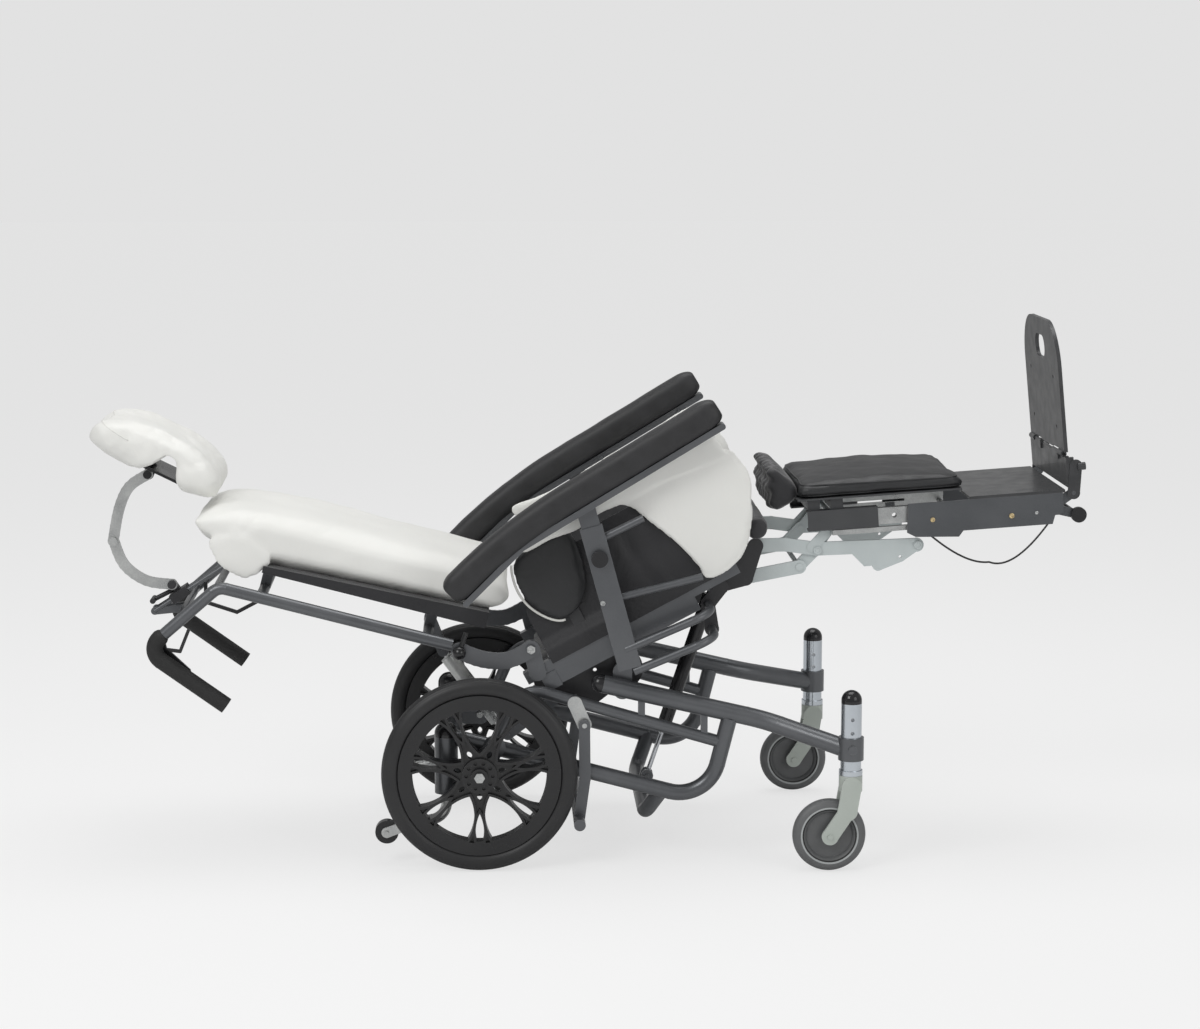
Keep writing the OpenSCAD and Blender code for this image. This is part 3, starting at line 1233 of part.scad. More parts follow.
// Slide rails: the bars that run in the channels, and the lower bars that carry the foot box
bar_from = 160;
bar_to = 445;
bar_fit = 0.5;
bar_hole_r = 5;
bar_holes = [290, 325];
low_bar_y = 160.5;
low_bar_w = 13;
low_bar_z = 12;
low_bar_h = 10;
bar_riser = 360;
slot_y = 147.5;
slot_t = 4;
slot_from = 160;
slot_to = 206;
slot_low = 18;
slot_w = 12;
slot_back = 3.5;
slot_ahead = 1.5;
tie_bar_x = 436;
module slide_rails() on_leg() color([0.8, 0.82, 0.84]) {
    both_sides() {
        difference() {
            translate([bar_from, channel_y + channel_wall, channel_low + channel_wall + bar_fit])
                cube([bar_to - bar_from, channel_w - 2 * channel_wall - bar_fit, channel_high - channel_low - 2 * (channel_wall + bar_fit)]);
            for (x = bar_holes) rod_y(x, (channel_low + channel_high) / 2, bar_hole_r, 0, foot_box_w);
        }
        translate([bar_from, low_bar_y, low_bar_z]) cube([bar_to - bar_from, low_bar_w, low_bar_h]);
        translate([bar_riser, low_bar_y, low_bar_z]) cube([bar_to - bar_riser, low_bar_w, channel_high / 2 - low_bar_z]);
        difference() {
            union() {
                translate([slot_from, slot_y, slot_low]) cube([slot_to - slot_from, slot_t, channel_high - slot_low - pass_gap]);
                translate([slot_to - slot_w * 1.5, slot_y, channel_low + channel_wall * 2])
                    cube([slot_w * 1.5, channel_w / 2, channel_high - channel_low - channel_wall * 4]);
            }
            translate([t_pin[0] - tie_rod_r - slot_back, 0, channel_low]) cube([2 * tie_rod_r + slot_back + slot_ahead,
                channel_y + channel_wall + over, channel_high - channel_low - channel_wall]);
        }
    }
    rod_y(tie_bar_x, low_bar_z + low_bar_h / 2, tie_rod_r, -low_bar_y - over, low_bar_y + over);
}

// Foot box: side plates, a cross beam, guides that ride on the lower bars, and carriers for the rollers
foot_side_t = 4;
foot_y = foot_box_w / 2;
foot_outline = [[313, 8], [318, 68], [640, 68], [640, 26], [622, 22], [616, 4], [430, 4], [420, -8], [330, -2]];
foot_beam_x = 602;
foot_beam_w = 28;
foot_beam_low = 22;
guide_x = 318;
guide_w = 20;
guide_low = 7.5;
guide_high = 20;
roller_at = [670, 20];
roller_r = 16;
roller_w = 12;
roller_axle_r = 4;
carrier_w = 20;
carrier_t = 5;
plate_hinge = [662, 66];
module foot_sides() on_leg() color([0.3, 0.31, 0.33]) {
    both_sides() {
        plate(foot_y - foot_side_t / 2, foot_side_t) polygon(foot_outline);
        difference() {
            translate([guide_x, low_bar_y - channel_wall, guide_low]) cube([guide_w, foot_y - low_bar_y, guide_high - guide_low]);
            translate([guide_x - over, low_bar_y - bar_fit, low_bar_z - bar_fit])
                cube([guide_w + 2 * over, low_bar_w + 2 * bar_fit, guide_high]);
        }
        plate(foot_y - foot_side_t - carrier_t / 2, carrier_t) difference() {
            union() {
                link_2d([[foot_beam_x + foot_beam_w, foot_beam_low + carrier_w / 2], roller_at], carrier_w);
                link_2d([[foot_beam_x + foot_beam_w, plate_hinge[1] - carrier_w], plate_hinge], carrier_w);
            }
            translate(roller_at) circle(r = roller_axle_r + run_fit);
        }
        rod_y(plate_hinge[0], plate_hinge[1], roller_axle_r, foot_y - foot_side_t - carrier_t, foot_y + foot_side_t);
    }
    translate([foot_beam_x, -foot_y + foot_side_t / 2, foot_beam_low]) cube([foot_beam_w, 2 * foot_y - foot_side_t, foot_top_z - foot_beam_low]);
}
foot_top_z = 68;
foot_top_t = 6;
foot_top_from = 446;
foot_top_to = 645;
module foot_top() on_leg() color([0.12, 0.12, 0.12])
    translate([foot_top_from, -foot_y, foot_top_z]) cube([foot_top_to - foot_top_from, 2 * foot_y, foot_top_t]);
module foot_rollers() on_leg() color([0.25, 0.25, 0.26]) {
    both_sides() rod_y(roller_at[0], roller_at[1], roller_r, foot_y - foot_side_t + pass_gap, foot_y - foot_side_t + roller_w);
    rod_y(roller_at[0], roller_at[1], roller_axle_r, -foot_y, foot_y);
}
// Cable under the foot box, swept along its hanging route
cable_y = -184;
cable_r = 2;
cable_sides = 8;
cable_m = 24;
cable_from = [352, 8];
cable_mid = [480, -66];
cable_bow = [535, -92];
cable_to = [626, 30];
function cable_at(t) = t < 0.5 ? bezier(cable_from, mix(cable_from, cable_mid, 0.6) - [0, cable_sides * 2], cable_mid, t * 2)
    : bezier(cable_mid, cable_bow, cable_to, t * 2 - 1);
module foot_cable() on_leg() color([0.05, 0.05, 0.05]) loft([for (i = [0 : cable_m]) let (t = i / cable_m, step = 0.02,
        p = cable_at(t), d = unit(cable_at(min(1, t + step)) - cable_at(max(0, t - step))))
    [for (o = oval(cable_sides, cable_r * 2, cable_r * 2, 2)) [p[0] - d[1] * o[1], cable_y + o[0], p[1] + d[0] * o[1]]]]);

// Foot plates: a low fixed plate, and a tall one with a hand hole that folds up
foot_lean = 1.8;
foot_plate_t = 8;
lower_plate_h = 76;
lower_plate_from = 12;
plate_w = 360;
upper_from = 84;
upper_w = 352;
upper_round = 96;
hand_hole = [292, 96, 24];
plate_hole_r = 4;
flap_z = 80;
flap_x = -11;
knuckle_r = 6.5;
knuckle_rod_r = 3.5;
ear_from = 60;
ear_len = 60;
ear_drop = 16;
plate_bracket_w = 26;
plate_bracket_tip = 56;
plate_bracket_t = 6;
plate_knob = [12, 54];
plate_knob_r = 8;
plate_knob_len = 16;
module on_plate() on_leg() translate([plate_hinge[0], 0, plate_hinge[1]]) rotate([0, -foot_lean, 0]) children();
// A plate outline drawn in Y and Z, with its front face at x
module upright(x, t) translate([x - t, 0, 0]) rotate([90, 0, 90]) linear_extrude(t) children();
module ear_space(from, len, gap) both_sides() translate([flap_x - knuckle_r * 2, from - gap, flap_z - knuckle_r - gap])
    cube([knuckle_r * 4, len + 2 * gap, (knuckle_r + gap) * 2]);
module foot_plate_lower() on_plate() color([0.22, 0.22, 0.23]) {
    difference() {
        upright(flap_x + foot_plate_t, foot_plate_t)
            translate([-plate_w / 2, lower_plate_from]) square([plate_w, lower_plate_h - lower_plate_from]);
        ear_space(ear_from + ear_len, ear_len * 0.8, pass_gap);
    }
    both_sides() {
        plate(foot_y + foot_side_t / 2, foot_side_t) difference() {
            link_2d([[0, 0], [plate_bracket_w / 3, plate_bracket_tip]], plate_bracket_w);
            circle(r = roller_axle_r + run_fit);
        }
        translate([flap_x, plate_w / 2 - over, lower_plate_from])
            cube([foot_plate_t * 2, foot_y - plate_w / 2 + over * 2, lower_plate_h - lower_plate_from - over]);
        strut([plate_knob[0], foot_y + foot_side_t / 2, plate_knob[1]],
            [plate_knob[0] + plate_knob_len, foot_y + foot_side_t / 2, plate_knob[1]], plate_knob_r);
        translate([flap_x - knuckle_rod_r, ear_from, flap_z - ear_drop]) cube([knuckle_rod_r * 2, ear_len, ear_drop]);
        rod_y(flap_x, flap_z, knuckle_rod_r, ear_from, ear_from + ear_len * 1.7);
    }
}
module foot_plate_upper() on_plate() color([0.22, 0.22, 0.23]) {
    difference() {
        upright(flap_x + foot_plate_t, foot_plate_t) difference() {
            union() {
                translate([-upper_w / 2, upper_from]) square([upper_w, foot_plate_h - upper_from - upper_round]);
                translate([-upper_w / 2 + upper_round, foot_plate_h - upper_round * 2]) square([upper_w - 2 * upper_round, upper_round * 2]);
                for (y = [-1, 1]) translate([y * (upper_w / 2 - upper_round), foot_plate_h - upper_round]) circle(r = upper_round);
            }
            for (y = [-1, 1]) translate([y * (hand_hole[1] / 2 - hand_hole[2]), hand_hole[0]]) circle(r = hand_hole[2]);
            translate([hand_hole[2] - hand_hole[1] / 2, hand_hole[0] - hand_hole[2]]) square([hand_hole[1] - 2 * hand_hole[2], hand_hole[2] * 2]);
            for (y = [-1, 1], z = [upper_from + upper_round / 2, foot_plate_h - upper_round * 1.2])
                translate([y * upper_w / 3, z]) circle(r = plate_hole_r);
        }
        ear_space(ear_from, ear_len, pass_gap);
        both_sides() rod_y(flap_x, flap_z, knuckle_rod_r + run_fit, 0, foot_y);
    }
    both_sides() difference() {
        rod_y(flap_x, flap_z, knuckle_r, ear_from + ear_len + pass_gap, ear_from + ear_len * 1.8 - pass_gap);
        rod_y(flap_x, flap_z, knuckle_rod_r + run_fit, 0, foot_y);
    }
}

side_frames();
cross_tubes();
caster_stems();
tube_caps();
wheel_axles();
brake_brackets();
caster_fork_right();
caster_fork_left();
caster_wheel_right();
caster_wheel_left();
rear_rim_right();
rear_rim_left();
rear_tyre_right();
rear_tyre_left();
brake_bar();
anti_tip_arm_right();
anti_tip_arm_left();
anti_tip_wheel_right();
anti_tip_wheel_left();
tilt_cylinder();
tilt_rod();
recline_cylinder();
recline_rod();
seat_frame();
seat_plates();
seat_cushion();
arm_sleeves();
side_fabrics();
hip_panels();
arm_knobs();
arm_post_right();
arm_post_left();
arm_pad_right();
arm_pad_left();
side_panel_right();
side_panel_left();
back_frame();
back_board();
back_cushion();
push_grips();
ball_knobs();
lever_right();
lever_left();
headrest_rail();
headrest_arm_lower();
headrest_arm_upper();
headrest_shell();
headrest_cushion();
leg_frame();
calf_pad();
gaiter();
crank_links();
lower_links();
slide_rails();
foot_sides();
foot_top();
foot_rollers();
foot_cable();
foot_plate_lower();
foot_plate_upper();
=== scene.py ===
import math

import bmesh
import bpy
from mathutils import Matrix, Vector, noise


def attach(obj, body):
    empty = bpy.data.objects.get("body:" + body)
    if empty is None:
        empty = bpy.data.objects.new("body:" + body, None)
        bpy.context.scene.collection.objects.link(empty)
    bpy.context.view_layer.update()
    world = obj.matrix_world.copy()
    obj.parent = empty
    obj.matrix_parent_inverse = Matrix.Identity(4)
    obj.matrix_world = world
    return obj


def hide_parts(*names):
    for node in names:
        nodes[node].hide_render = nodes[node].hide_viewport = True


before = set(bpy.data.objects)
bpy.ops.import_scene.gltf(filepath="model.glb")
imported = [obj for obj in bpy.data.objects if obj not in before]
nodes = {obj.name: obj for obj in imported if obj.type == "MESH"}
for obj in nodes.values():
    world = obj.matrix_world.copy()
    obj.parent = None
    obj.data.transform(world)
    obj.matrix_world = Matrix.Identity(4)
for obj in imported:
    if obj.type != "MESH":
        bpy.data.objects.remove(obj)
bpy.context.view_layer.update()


# Camera, floor and light of the studio.
# A long lens stands nearly square to the chair's right side, a little above the armrests.
bpy.ops.object.camera_add(location=(-0.2117, -5.8328, 1.5617), rotation=(math.pi / 2 - 0.1486, 0, -0.0419))
camera = bpy.context.object
camera.name = "studio_camera"
camera.data.sensor_width = 36
camera.data.lens = 83.46
camera.data.clip_end = 60
bpy.context.scene.camera = camera
bpy.context.scene.view_settings.view_transform = "Standard"


def nothing_selected():
    bpy.ops.object.select_all(action="DESELECT")
    bpy.context.view_layer.objects.active = None


def new_material(name):
    """An empty node material, with its Principled shader and output."""
    m = bpy.data.materials.new(name)
    m.use_nodes = True
    t = m.node_tree
    return m, t, t.nodes["Principled BSDF"]


def put(tree, kind, **values):
    """A node with its sockets or settings filled in by name."""
    n = tree.nodes.new(kind)
    for k, v in values.items():
        socket = n.inputs.get(k.replace("_", " "))
        if socket is not None:
            socket.default_value = v
        else:
            setattr(n, k, v)
    return n


nothing_selected()
bpy.ops.mesh.primitive_plane_add(size=60, location=(0, 0, -0.0005))
floor = bpy.context.object
floor.name = "studio_floor"
floor_paint, tree, skin = new_material("floor_paint")
skin.inputs["Base Color"].default_value = (0.85, 0.85, 0.85, 1)
skin.inputs["Roughness"].default_value = 0.9
seen = put(tree, "ShaderNodeLightPath")
matt = put(tree, "ShaderNodeBsdfDiffuse", Color=(0.26, 0.26, 0.26, 1))
white = put(tree, "ShaderNodeEmission", Color=(1, 1, 1, 1), Strength=0.66)
both = put(tree, "ShaderNodeAddShader")
pick = put(tree, "ShaderNodeMixShader")
tree.links.new(matt.outputs[0], both.inputs[0])
tree.links.new(white.outputs[0], both.inputs[1])
tree.links.new(seen.outputs["Is Camera Ray"], pick.inputs[0])
tree.links.new(skin.outputs[0], pick.inputs[1])
tree.links.new(both.outputs[0], pick.inputs[2])
tree.links.new(pick.outputs[0], tree.nodes["Material Output"].inputs[0])
floor.data.materials.append(floor_paint)

world = bpy.data.worlds.new("studio_world")
bpy.context.scene.world = world
world.use_nodes = True
tree = world.node_tree
sky = tree.nodes["Background"]
sky.inputs[0].default_value = (1, 1, 1, 1)
sky.inputs[1].default_value = 0.4
bright = put(tree, "ShaderNodeBackground", Color=(1, 1, 1, 1), Strength=0.76)
seen = put(tree, "ShaderNodeLightPath")
pick = put(tree, "ShaderNodeMixShader")
tree.links.new(seen.outputs["Is Camera Ray"], pick.inputs[0])
tree.links.new(sky.outputs[0], pick.inputs[1])
tree.links.new(bright.outputs[0], pick.inputs[2])
tree.links.new(pick.outputs[0], tree.nodes["World Output"].inputs[0])

for name, place, aim, size, power in (
    ("key_softbox", (-2.6, -3.2, 3.6), (0, 0, 0.6), 2.2, 82),
    ("fill_softbox", (3.2, -3.6, 2.2), (0, 0, 0.5), 2.4, 34),
    ("top_softbox", (0.2, 0.4, 4.0), (0, 0, 0.4), 2.6, 58),
):
    bpy.ops.object.light_add(type="AREA", location=place)
    lamp = bpy.context.object
    lamp.name = name
    lamp.data.shape = "SQUARE"
    lamp.data.size = size
    lamp.data.energy = power
    lamp.rotation_euler = (Vector(aim) - Vector(place)).to_track_quat("-Z", "Y").to_euler()


# Frame paint: side frames, cross tubes, seat and back frames, armrest posts and their sleeves, and the brake bar.
# Welded steel tube with a dark metallic powder coat, a little worn where its edges are touched.
def value_group(name, inputs, outputs):
    g = bpy.data.node_groups.new(name, "ShaderNodeTree")
    for n, kind, start in inputs:
        s = g.interface.new_socket(n, in_out="INPUT", socket_type=kind)
        s.default_value = start
    for n, kind in outputs:
        g.interface.new_socket(n, in_out="OUTPUT", socket_type=kind)
    return g, g.nodes.new("NodeGroupInput"), g.nodes.new("NodeGroupOutput")


def join(tree, a, b):
    tree.links.new(a, b)


# Edge wear: a mask that is 1 on sharp outer edges, broken up by noise.
edge_wear, g_in, g_out = value_group(
    "edge_wear", [("Reach", "NodeSocketFloat", 0.002), ("Patches", "NodeSocketFloat", 40.0)],
    [("Mask", "NodeSocketFloat")])
rounded = put(edge_wear, "ShaderNodeBevel", samples=4)
plain = put(edge_wear, "ShaderNodeNewGeometry")
dot = put(edge_wear, "ShaderNodeVectorMath", operation="DOT_PRODUCT")
edge = put(edge_wear, "ShaderNodeMapRange", From_Min=0.995, From_Max=0.86, To_Min=0.0, To_Max=1.0)
place = put(edge_wear, "ShaderNodeTexCoord")
blot = put(edge_wear, "ShaderNodeTexNoise", Detail=3.0)
spread = put(edge_wear, "ShaderNodeMapRange", From_Min=0.42, From_Max=0.62, To_Min=0.0, To_Max=1.0)
times = put(edge_wear, "ShaderNodeMath", operation="MULTIPLY")
join(edge_wear, g_in.outputs["Reach"], rounded.inputs["Radius"])
join(edge_wear, rounded.outputs[0], dot.inputs[0])
join(edge_wear, plain.outputs["Normal"], dot.inputs[1])
join(edge_wear, dot.outputs["Value"], edge.inputs["Value"])
join(edge_wear, place.outputs["Object"], blot.inputs["Vector"])
join(edge_wear, g_in.outputs["Patches"], blot.inputs["Scale"])
join(edge_wear, blot.outputs["Fac"], spread.inputs["Value"])
join(edge_wear, edge.outputs[0], times.inputs[0])
join(edge_wear, spread.outputs[0], times.inputs[1])
join(edge_wear, times.outputs[0], g_out.inputs["Mask"])

# Fleck: fine and coarse noise together, for pigment, metal flake and dull patches.
fleck, g_in, g_out = value_group(
    "fleck", [("Fine", "NodeSocketFloat", 900.0), ("Coarse", "NodeSocketFloat", 9.0)],
    [("Fine", "NodeSocketFloat"), ("Coarse", "NodeSocketFloat")])
place = put(fleck, "ShaderNodeTexCoord")
small = put(fleck, "ShaderNodeTexNoise", Detail=2.0)
large = put(fleck, "ShaderNodeTexNoise", Detail=4.0)
join(fleck, place.outputs["Object"], small.inputs["Vector"])
join(fleck, place.outputs["Object"], large.inputs["Vector"])
join(fleck, g_in.outputs["Fine"], small.inputs["Scale"])
join(fleck, g_in.outputs["Coarse"], large.inputs["Scale"])
join(fleck, small.outputs["Fac"], g_out.inputs["Fine"])
join(fleck, large.outputs["Fac"], g_out.inputs["Coarse"])


def hard_finish(name, low, high, metal, rough, bump, fine=900.0, coarse=9.0, worn=None, wear=0.0015, coat=0.0,
                rough_spread=0.08):
    """A paint, plating or moulding: flecked colour, uneven gloss, a fine bump, and worn edges where it has them."""
    m, t, s = new_material(name)
    f = put(t, "ShaderNodeGroup", node_tree=fleck, Fine=fine, Coarse=coarse)
    tone = put(t, "ShaderNodeMix", data_type="RGBA")
    tone.inputs["A"].default_value = (*low, 1)
    tone.inputs["B"].default_value = (*high, 1)
    both = put(t, "ShaderNodeMath", operation="MULTIPLY_ADD")
    both.inputs[1].default_value = 0.35
    join(t, f.outputs["Fine"], both.inputs[0])
    scaled = put(t, "ShaderNodeMath", operation="MULTIPLY")
    scaled.inputs[1].default_value = 0.65
    join(t, f.outputs["Coarse"], scaled.inputs[0])
    join(t, scaled.outputs[0], both.inputs[2])
    spread = put(t, "ShaderNodeMapRange", From_Min=0.35, From_Max=0.65)
    join(t, both.outputs[0], spread.inputs["Value"])
    join(t, spread.outputs[0], tone.inputs["Factor"])
    colour = tone.outputs["Result"]
    if worn:
        e = put(t, "ShaderNodeGroup", node_tree=edge_wear, Reach=wear, Patches=55.0)
        bare = put(t, "ShaderNodeMix", data_type="RGBA")
        bare.inputs["B"].default_value = (*worn, 1)
        join(t, colour, bare.inputs["A"])
        join(t, e.outputs["Mask"], bare.inputs["Factor"])
        colour = bare.outputs["Result"]
    join(t, colour, s.inputs["Base Color"])
    gloss = put(t, "ShaderNodeMapRange", From_Min=0.3, From_Max=0.7,
                To_Min=rough - rough_spread, To_Max=rough + rough_spread)
    join(t, f.outputs["Coarse"], gloss.inputs["Value"])
    join(t, gloss.outputs[0], s.inputs["Roughness"])
    s.inputs["Metallic"].default_value = metal
    if coat:
        s.inputs["Coat Weight"].default_value = coat
        s.inputs["Coat Roughness"].default_value = 0.12
    b = put(t, "ShaderNodeBump", Strength=bump, Distance=0.0006)
    join(t, f.outputs["Fine"], b.inputs["Height"])
    join(t, b.outputs[0], s.inputs["Normal"])
    return m


def dress(material, *names):
    """Gives a finish to CAD nodes."""
    for n in names:
        o = nodes[n]
        o.data.materials.clear()
        o.data.materials.append(material)


frame_paint = hard_finish("frame_paint", (0.105, 0.11, 0.118), (0.135, 0.14, 0.148), 0.55, 0.36, 0.12,
                          worn=(0.24, 0.25, 0.26), coat=0.25)
dress(frame_paint, "brake_bar", "side_frames", "cross_tubes", "seat_frame", "arm_sleeves", "arm_post_right",
      "arm_post_left", "back_frame")
frame_dark = hard_finish("frame_dark", (0.03, 0.03, 0.032), (0.05, 0.05, 0.053), 0.2, 0.42, 0.15,
                         worn=(0.12, 0.12, 0.125))
dress(frame_dark, "seat_plates", "headrest_rail")


# Caster stems, axles and the other plated parts.
# Bright zinc and chrome plate over turned steel, and moulded black plugs in the tube ends.
stem_plate = hard_finish("stem_plate", (0.5, 0.54, 0.58), (0.62, 0.66, 0.7), 0.95, 0.2, 0.04, coarse=5.0,
                         worn=(0.75, 0.77, 0.8))
dress(stem_plate, "caster_stems")
zinc = hard_finish("zinc_plate", (0.42, 0.43, 0.43), (0.6, 0.61, 0.6), 0.9, 0.34, 0.12, fine=300.0, coarse=24.0,
                   worn=(0.7, 0.7, 0.7), rough_spread=0.1)
dress(zinc, "wheel_axles", "brake_brackets", "anti_tip_arm_right", "anti_tip_arm_left", "slide_rails",
      "recline_cylinder", "headrest_arm_lower", "headrest_arm_upper")
rod_chrome = hard_finish("rod_chrome", (0.62, 0.64, 0.67), (0.72, 0.74, 0.77), 1.0, 0.12, 0.02)
dress(rod_chrome, "tilt_rod", "recline_rod")
plug_black = hard_finish("plug_black", (0.012, 0.012, 0.013), (0.022, 0.022, 0.024), 0.0, 0.2, 0.04,
                         worn=(0.05, 0.05, 0.05))
dress(plug_black, "tube_caps", "arm_knobs", "ball_knobs", "headrest_shell", "lever_left", "lever_right")
spring_paint = hard_finish("spring_paint", (0.014, 0.014, 0.015), (0.024, 0.024, 0.026), 0.1, 0.22, 0.03,
                           worn=(0.2, 0.2, 0.2))
dress(spring_paint, "tilt_cylinder")


# Casters: a swivelling moulded fork, and a wheel with a disc on each side.
# The fork is sage grey glass-filled plastic, and the wheel has rings of grey, white and black round its axle.
fork_plastic = hard_finish("fork_plastic", (0.42, 0.46, 0.42), (0.5, 0.54, 0.5), 0.0, 0.45, 0.2, worn=(0.6, 0.63, 0.6))
dress(fork_plastic, "caster_fork_right", "caster_fork_left")

turned, g_in, g_out = value_group("distance_from_axle", [("Centre", "NodeSocketVector", (0, 0, 0))],
                                  [("Radius", "NodeSocketFloat"), ("Angle", "NodeSocketFloat")])
place = put(turned, "ShaderNodeTexCoord")
take = put(turned, "ShaderNodeVectorMath", operation="SUBTRACT")
part = put(turned, "ShaderNodeSeparateXYZ")
flat = put(turned, "ShaderNodeCombineXYZ")
size = put(turned, "ShaderNodeVectorMath", operation="LENGTH")
turn = put(turned, "ShaderNodeMath", operation="ARCTAN2")
join(turned, place.outputs["Object"], take.inputs[0])
join(turned, g_in.outputs["Centre"], take.inputs[1])
join(turned, take.outputs[0], part.inputs[0])
join(turned, part.outputs["X"], flat.inputs["X"])
join(turned, part.outputs["Z"], flat.inputs["Y"])
join(turned, flat.outputs[0], size.inputs[0])
join(turned, part.outputs["Z"], turn.inputs[0])
join(turned, part.outputs["X"], turn.inputs[1])
join(turned, size.outputs["Value"], g_out.inputs["Radius"])
join(turned, turn.outputs[0], g_out.inputs["Angle"])

CASTER_AXLE = (0.4866, 0, 0.075)
caster_rubber, tree, skin = new_material("caster_rubber")
ring = put(tree, "ShaderNodeGroup", node_tree=turned, Centre=CASTER_AXLE)
spread = put(tree, "ShaderNodeMapRange", From_Min=0.0, From_Max=0.08)
bands = put(tree, "ShaderNodeValToRGB")
bands.color_ramp.interpolation = "CONSTANT"
steps = bands.color_ramp.elements
steps[0].position, steps[0].color = 0.0, (0.07, 0.072, 0.075, 1)
steps[1].position, steps[1].color = 0.16, (0.115, 0.118, 0.12, 1)
for at, tone in ((0.655, (0.012, 0.012, 0.012, 1)), (0.695, (0.42, 0.44, 0.44, 1)), (0.735, (0.13, 0.133, 0.135, 1))):
    e = steps.new(at)
    e.color = tone
f = put(tree, "ShaderNodeGroup", node_tree=fleck, Fine=500.0, Coarse=18.0)
dust = put(tree, "ShaderNodeMix", data_type="RGBA", blend_type="OVERLAY")
dust.inputs["Factor"].default_value = 0.25
join(tree, ring.outputs["Radius"], spread.inputs["Value"])
join(tree, spread.outputs[0], bands.inputs[0])
join(tree, bands.outputs[0], dust.inputs["A"])
join(tree, f.outputs["Coarse"], dust.inputs["B"])
join(tree, dust.outputs["Result"], skin.inputs["Base Color"])
skin.inputs["Roughness"].default_value = 0.5
b = put(tree, "ShaderNodeBump", Strength=0.2, Distance=0.0004)
join(tree, f.outputs["Fine"], b.inputs["Height"])
join(tree, b.outputs[0], skin.inputs["Normal"])
dress(caster_rubber, "caster_wheel_right", "caster_wheel_left")


# Rear wheels: a one-piece moulded rim with seven shield-shaped windows, and a rubber tyre.
# Black glass-filled plastic with a faint sheen; the tyre has fine ribs round its tread.
rim_plastic = hard_finish("rim_plastic", (0.008, 0.008, 0.009), (0.018, 0.018, 0.019), 0.0, 0.3, 0.12,
                          worn=(0.05, 0.05, 0.052))
dress(rim_plastic, "rear_rim_right", "rear_rim_left", "anti_tip_wheel_right", "anti_tip_wheel_left", "foot_rollers")

REAR_AXLE = (-0.2254, 0, 0.2)
tyre_rubber, tree, skin = new_material("tyre_rubber")
ring = put(tree, "ShaderNodeGroup", node_tree=turned, Centre=REAR_AXLE)
f = put(tree, "ShaderNodeGroup", node_tree=fleck, Fine=700.0, Coarse=12.0)
tone = put(tree, "ShaderNodeMix", data_type="RGBA")
tone.inputs["A"].default_value = (0.011, 0.011, 0.012, 1)
tone.inputs["B"].default_value = (0.026, 0.026, 0.027, 1)
join(tree, f.outputs["Coarse"], tone.inputs["Factor"])
join(tree, tone.outputs["Result"], skin.inputs["Base Color"])
skin.inputs["Roughness"].default_value = 0.46
place = put(tree, "ShaderNodeTexCoord")
part = put(tree, "ShaderNodeSeparateXYZ")
join(tree, place.outputs["Object"], part.inputs[0])
ribs = put(tree, "ShaderNodeMath", operation="SINE")
scaled = put(tree, "ShaderNodeMath", operation="MULTIPLY")
scaled.inputs[1].default_value = 1500.0
join(tree, part.outputs["Y"], scaled.inputs[0])
join(tree, scaled.outputs[0], ribs.inputs[0])
tread = put(tree, "ShaderNodeMapRange", From_Min=0.1915, From_Max=0.197)
join(tree, ring.outputs["Radius"], tread.inputs["Value"])
deep = put(tree, "ShaderNodeMath", operation="MULTIPLY")
join(tree, ribs.outputs[0], deep.inputs[0])
join(tree, tread.outputs[0], deep.inputs[1])
wall = put(tree, "ShaderNodeMath", operation="MULTIPLY")
wall.inputs[1].default_value = 2600.0
rings = put(tree, "ShaderNodeMath", operation="SINE")
join(tree, ring.outputs["Radius"], wall.inputs[0])
join(tree, wall.outputs[0], rings.inputs[0])
soft = put(tree, "ShaderNodeMath", operation="MULTIPLY_ADD")
soft.inputs[1].default_value = 0.12
join(tree, rings.outputs[0], soft.inputs[0])
join(tree, deep.outputs[0], soft.inputs[2])
b = put(tree, "ShaderNodeBump", Strength=0.5, Distance=0.0008)
join(tree, soft.outputs[0], b.inputs["Height"])
join(tree, b.outputs[0], skin.inputs["Normal"])
dress(tyre_rubber, "rear_tyre_right", "rear_tyre_left")


# Legrest steel: flat links, cranks and hangers, and the C channels under the calf pad's board.
# The links are pressed flat bar with a pale grey coat; above the hangers the channels are darker.
link_paint = hard_finish("link_paint", (0.5, 0.55, 0.55), (0.6, 0.65, 0.65), 0.1, 0.42, 0.15, worn=(0.4, 0.41, 0.41))
dress(link_paint, "crank_links", "lower_links")

LEG_PLACE, LEG_SLOPE = (0.3486, 0, 0.644), math.radians(-3.9)
LEG_AT = Matrix.Translation(LEG_PLACE) @ Matrix.Rotation(LEG_SLOPE, 4, "Y")
leg_paint, tree, skin = new_material("leg_paint")
place = put(tree, "ShaderNodeTexCoord")
level = put(tree, "ShaderNodeMapping", vector_type="TEXTURE", Location=LEG_PLACE, Rotation=(0, LEG_SLOPE, 0))
part = put(tree, "ShaderNodeSeparateXYZ")
above = put(tree, "ShaderNodeMapRange", From_Min=0.0215, From_Max=0.0225)
beyond = put(tree, "ShaderNodeMapRange", From_Min=0.088, From_Max=0.09)
upper = put(tree, "ShaderNodeMath", operation="MULTIPLY")
f = put(tree, "ShaderNodeGroup", node_tree=fleck, Fine=800.0, Coarse=14.0)
tones = []
for low, high in (((0.5, 0.55, 0.55), (0.6, 0.65, 0.65)), ((0.05, 0.052, 0.055), (0.075, 0.077, 0.08))):
    tone = put(tree, "ShaderNodeMix", data_type="RGBA")
    tone.inputs["A"].default_value = (*low, 1)
    tone.inputs["B"].default_value = (*high, 1)
    join(tree, f.outputs["Coarse"], tone.inputs["Factor"])
    tones.append(tone.outputs["Result"])
both = put(tree, "ShaderNodeMix", data_type="RGBA")
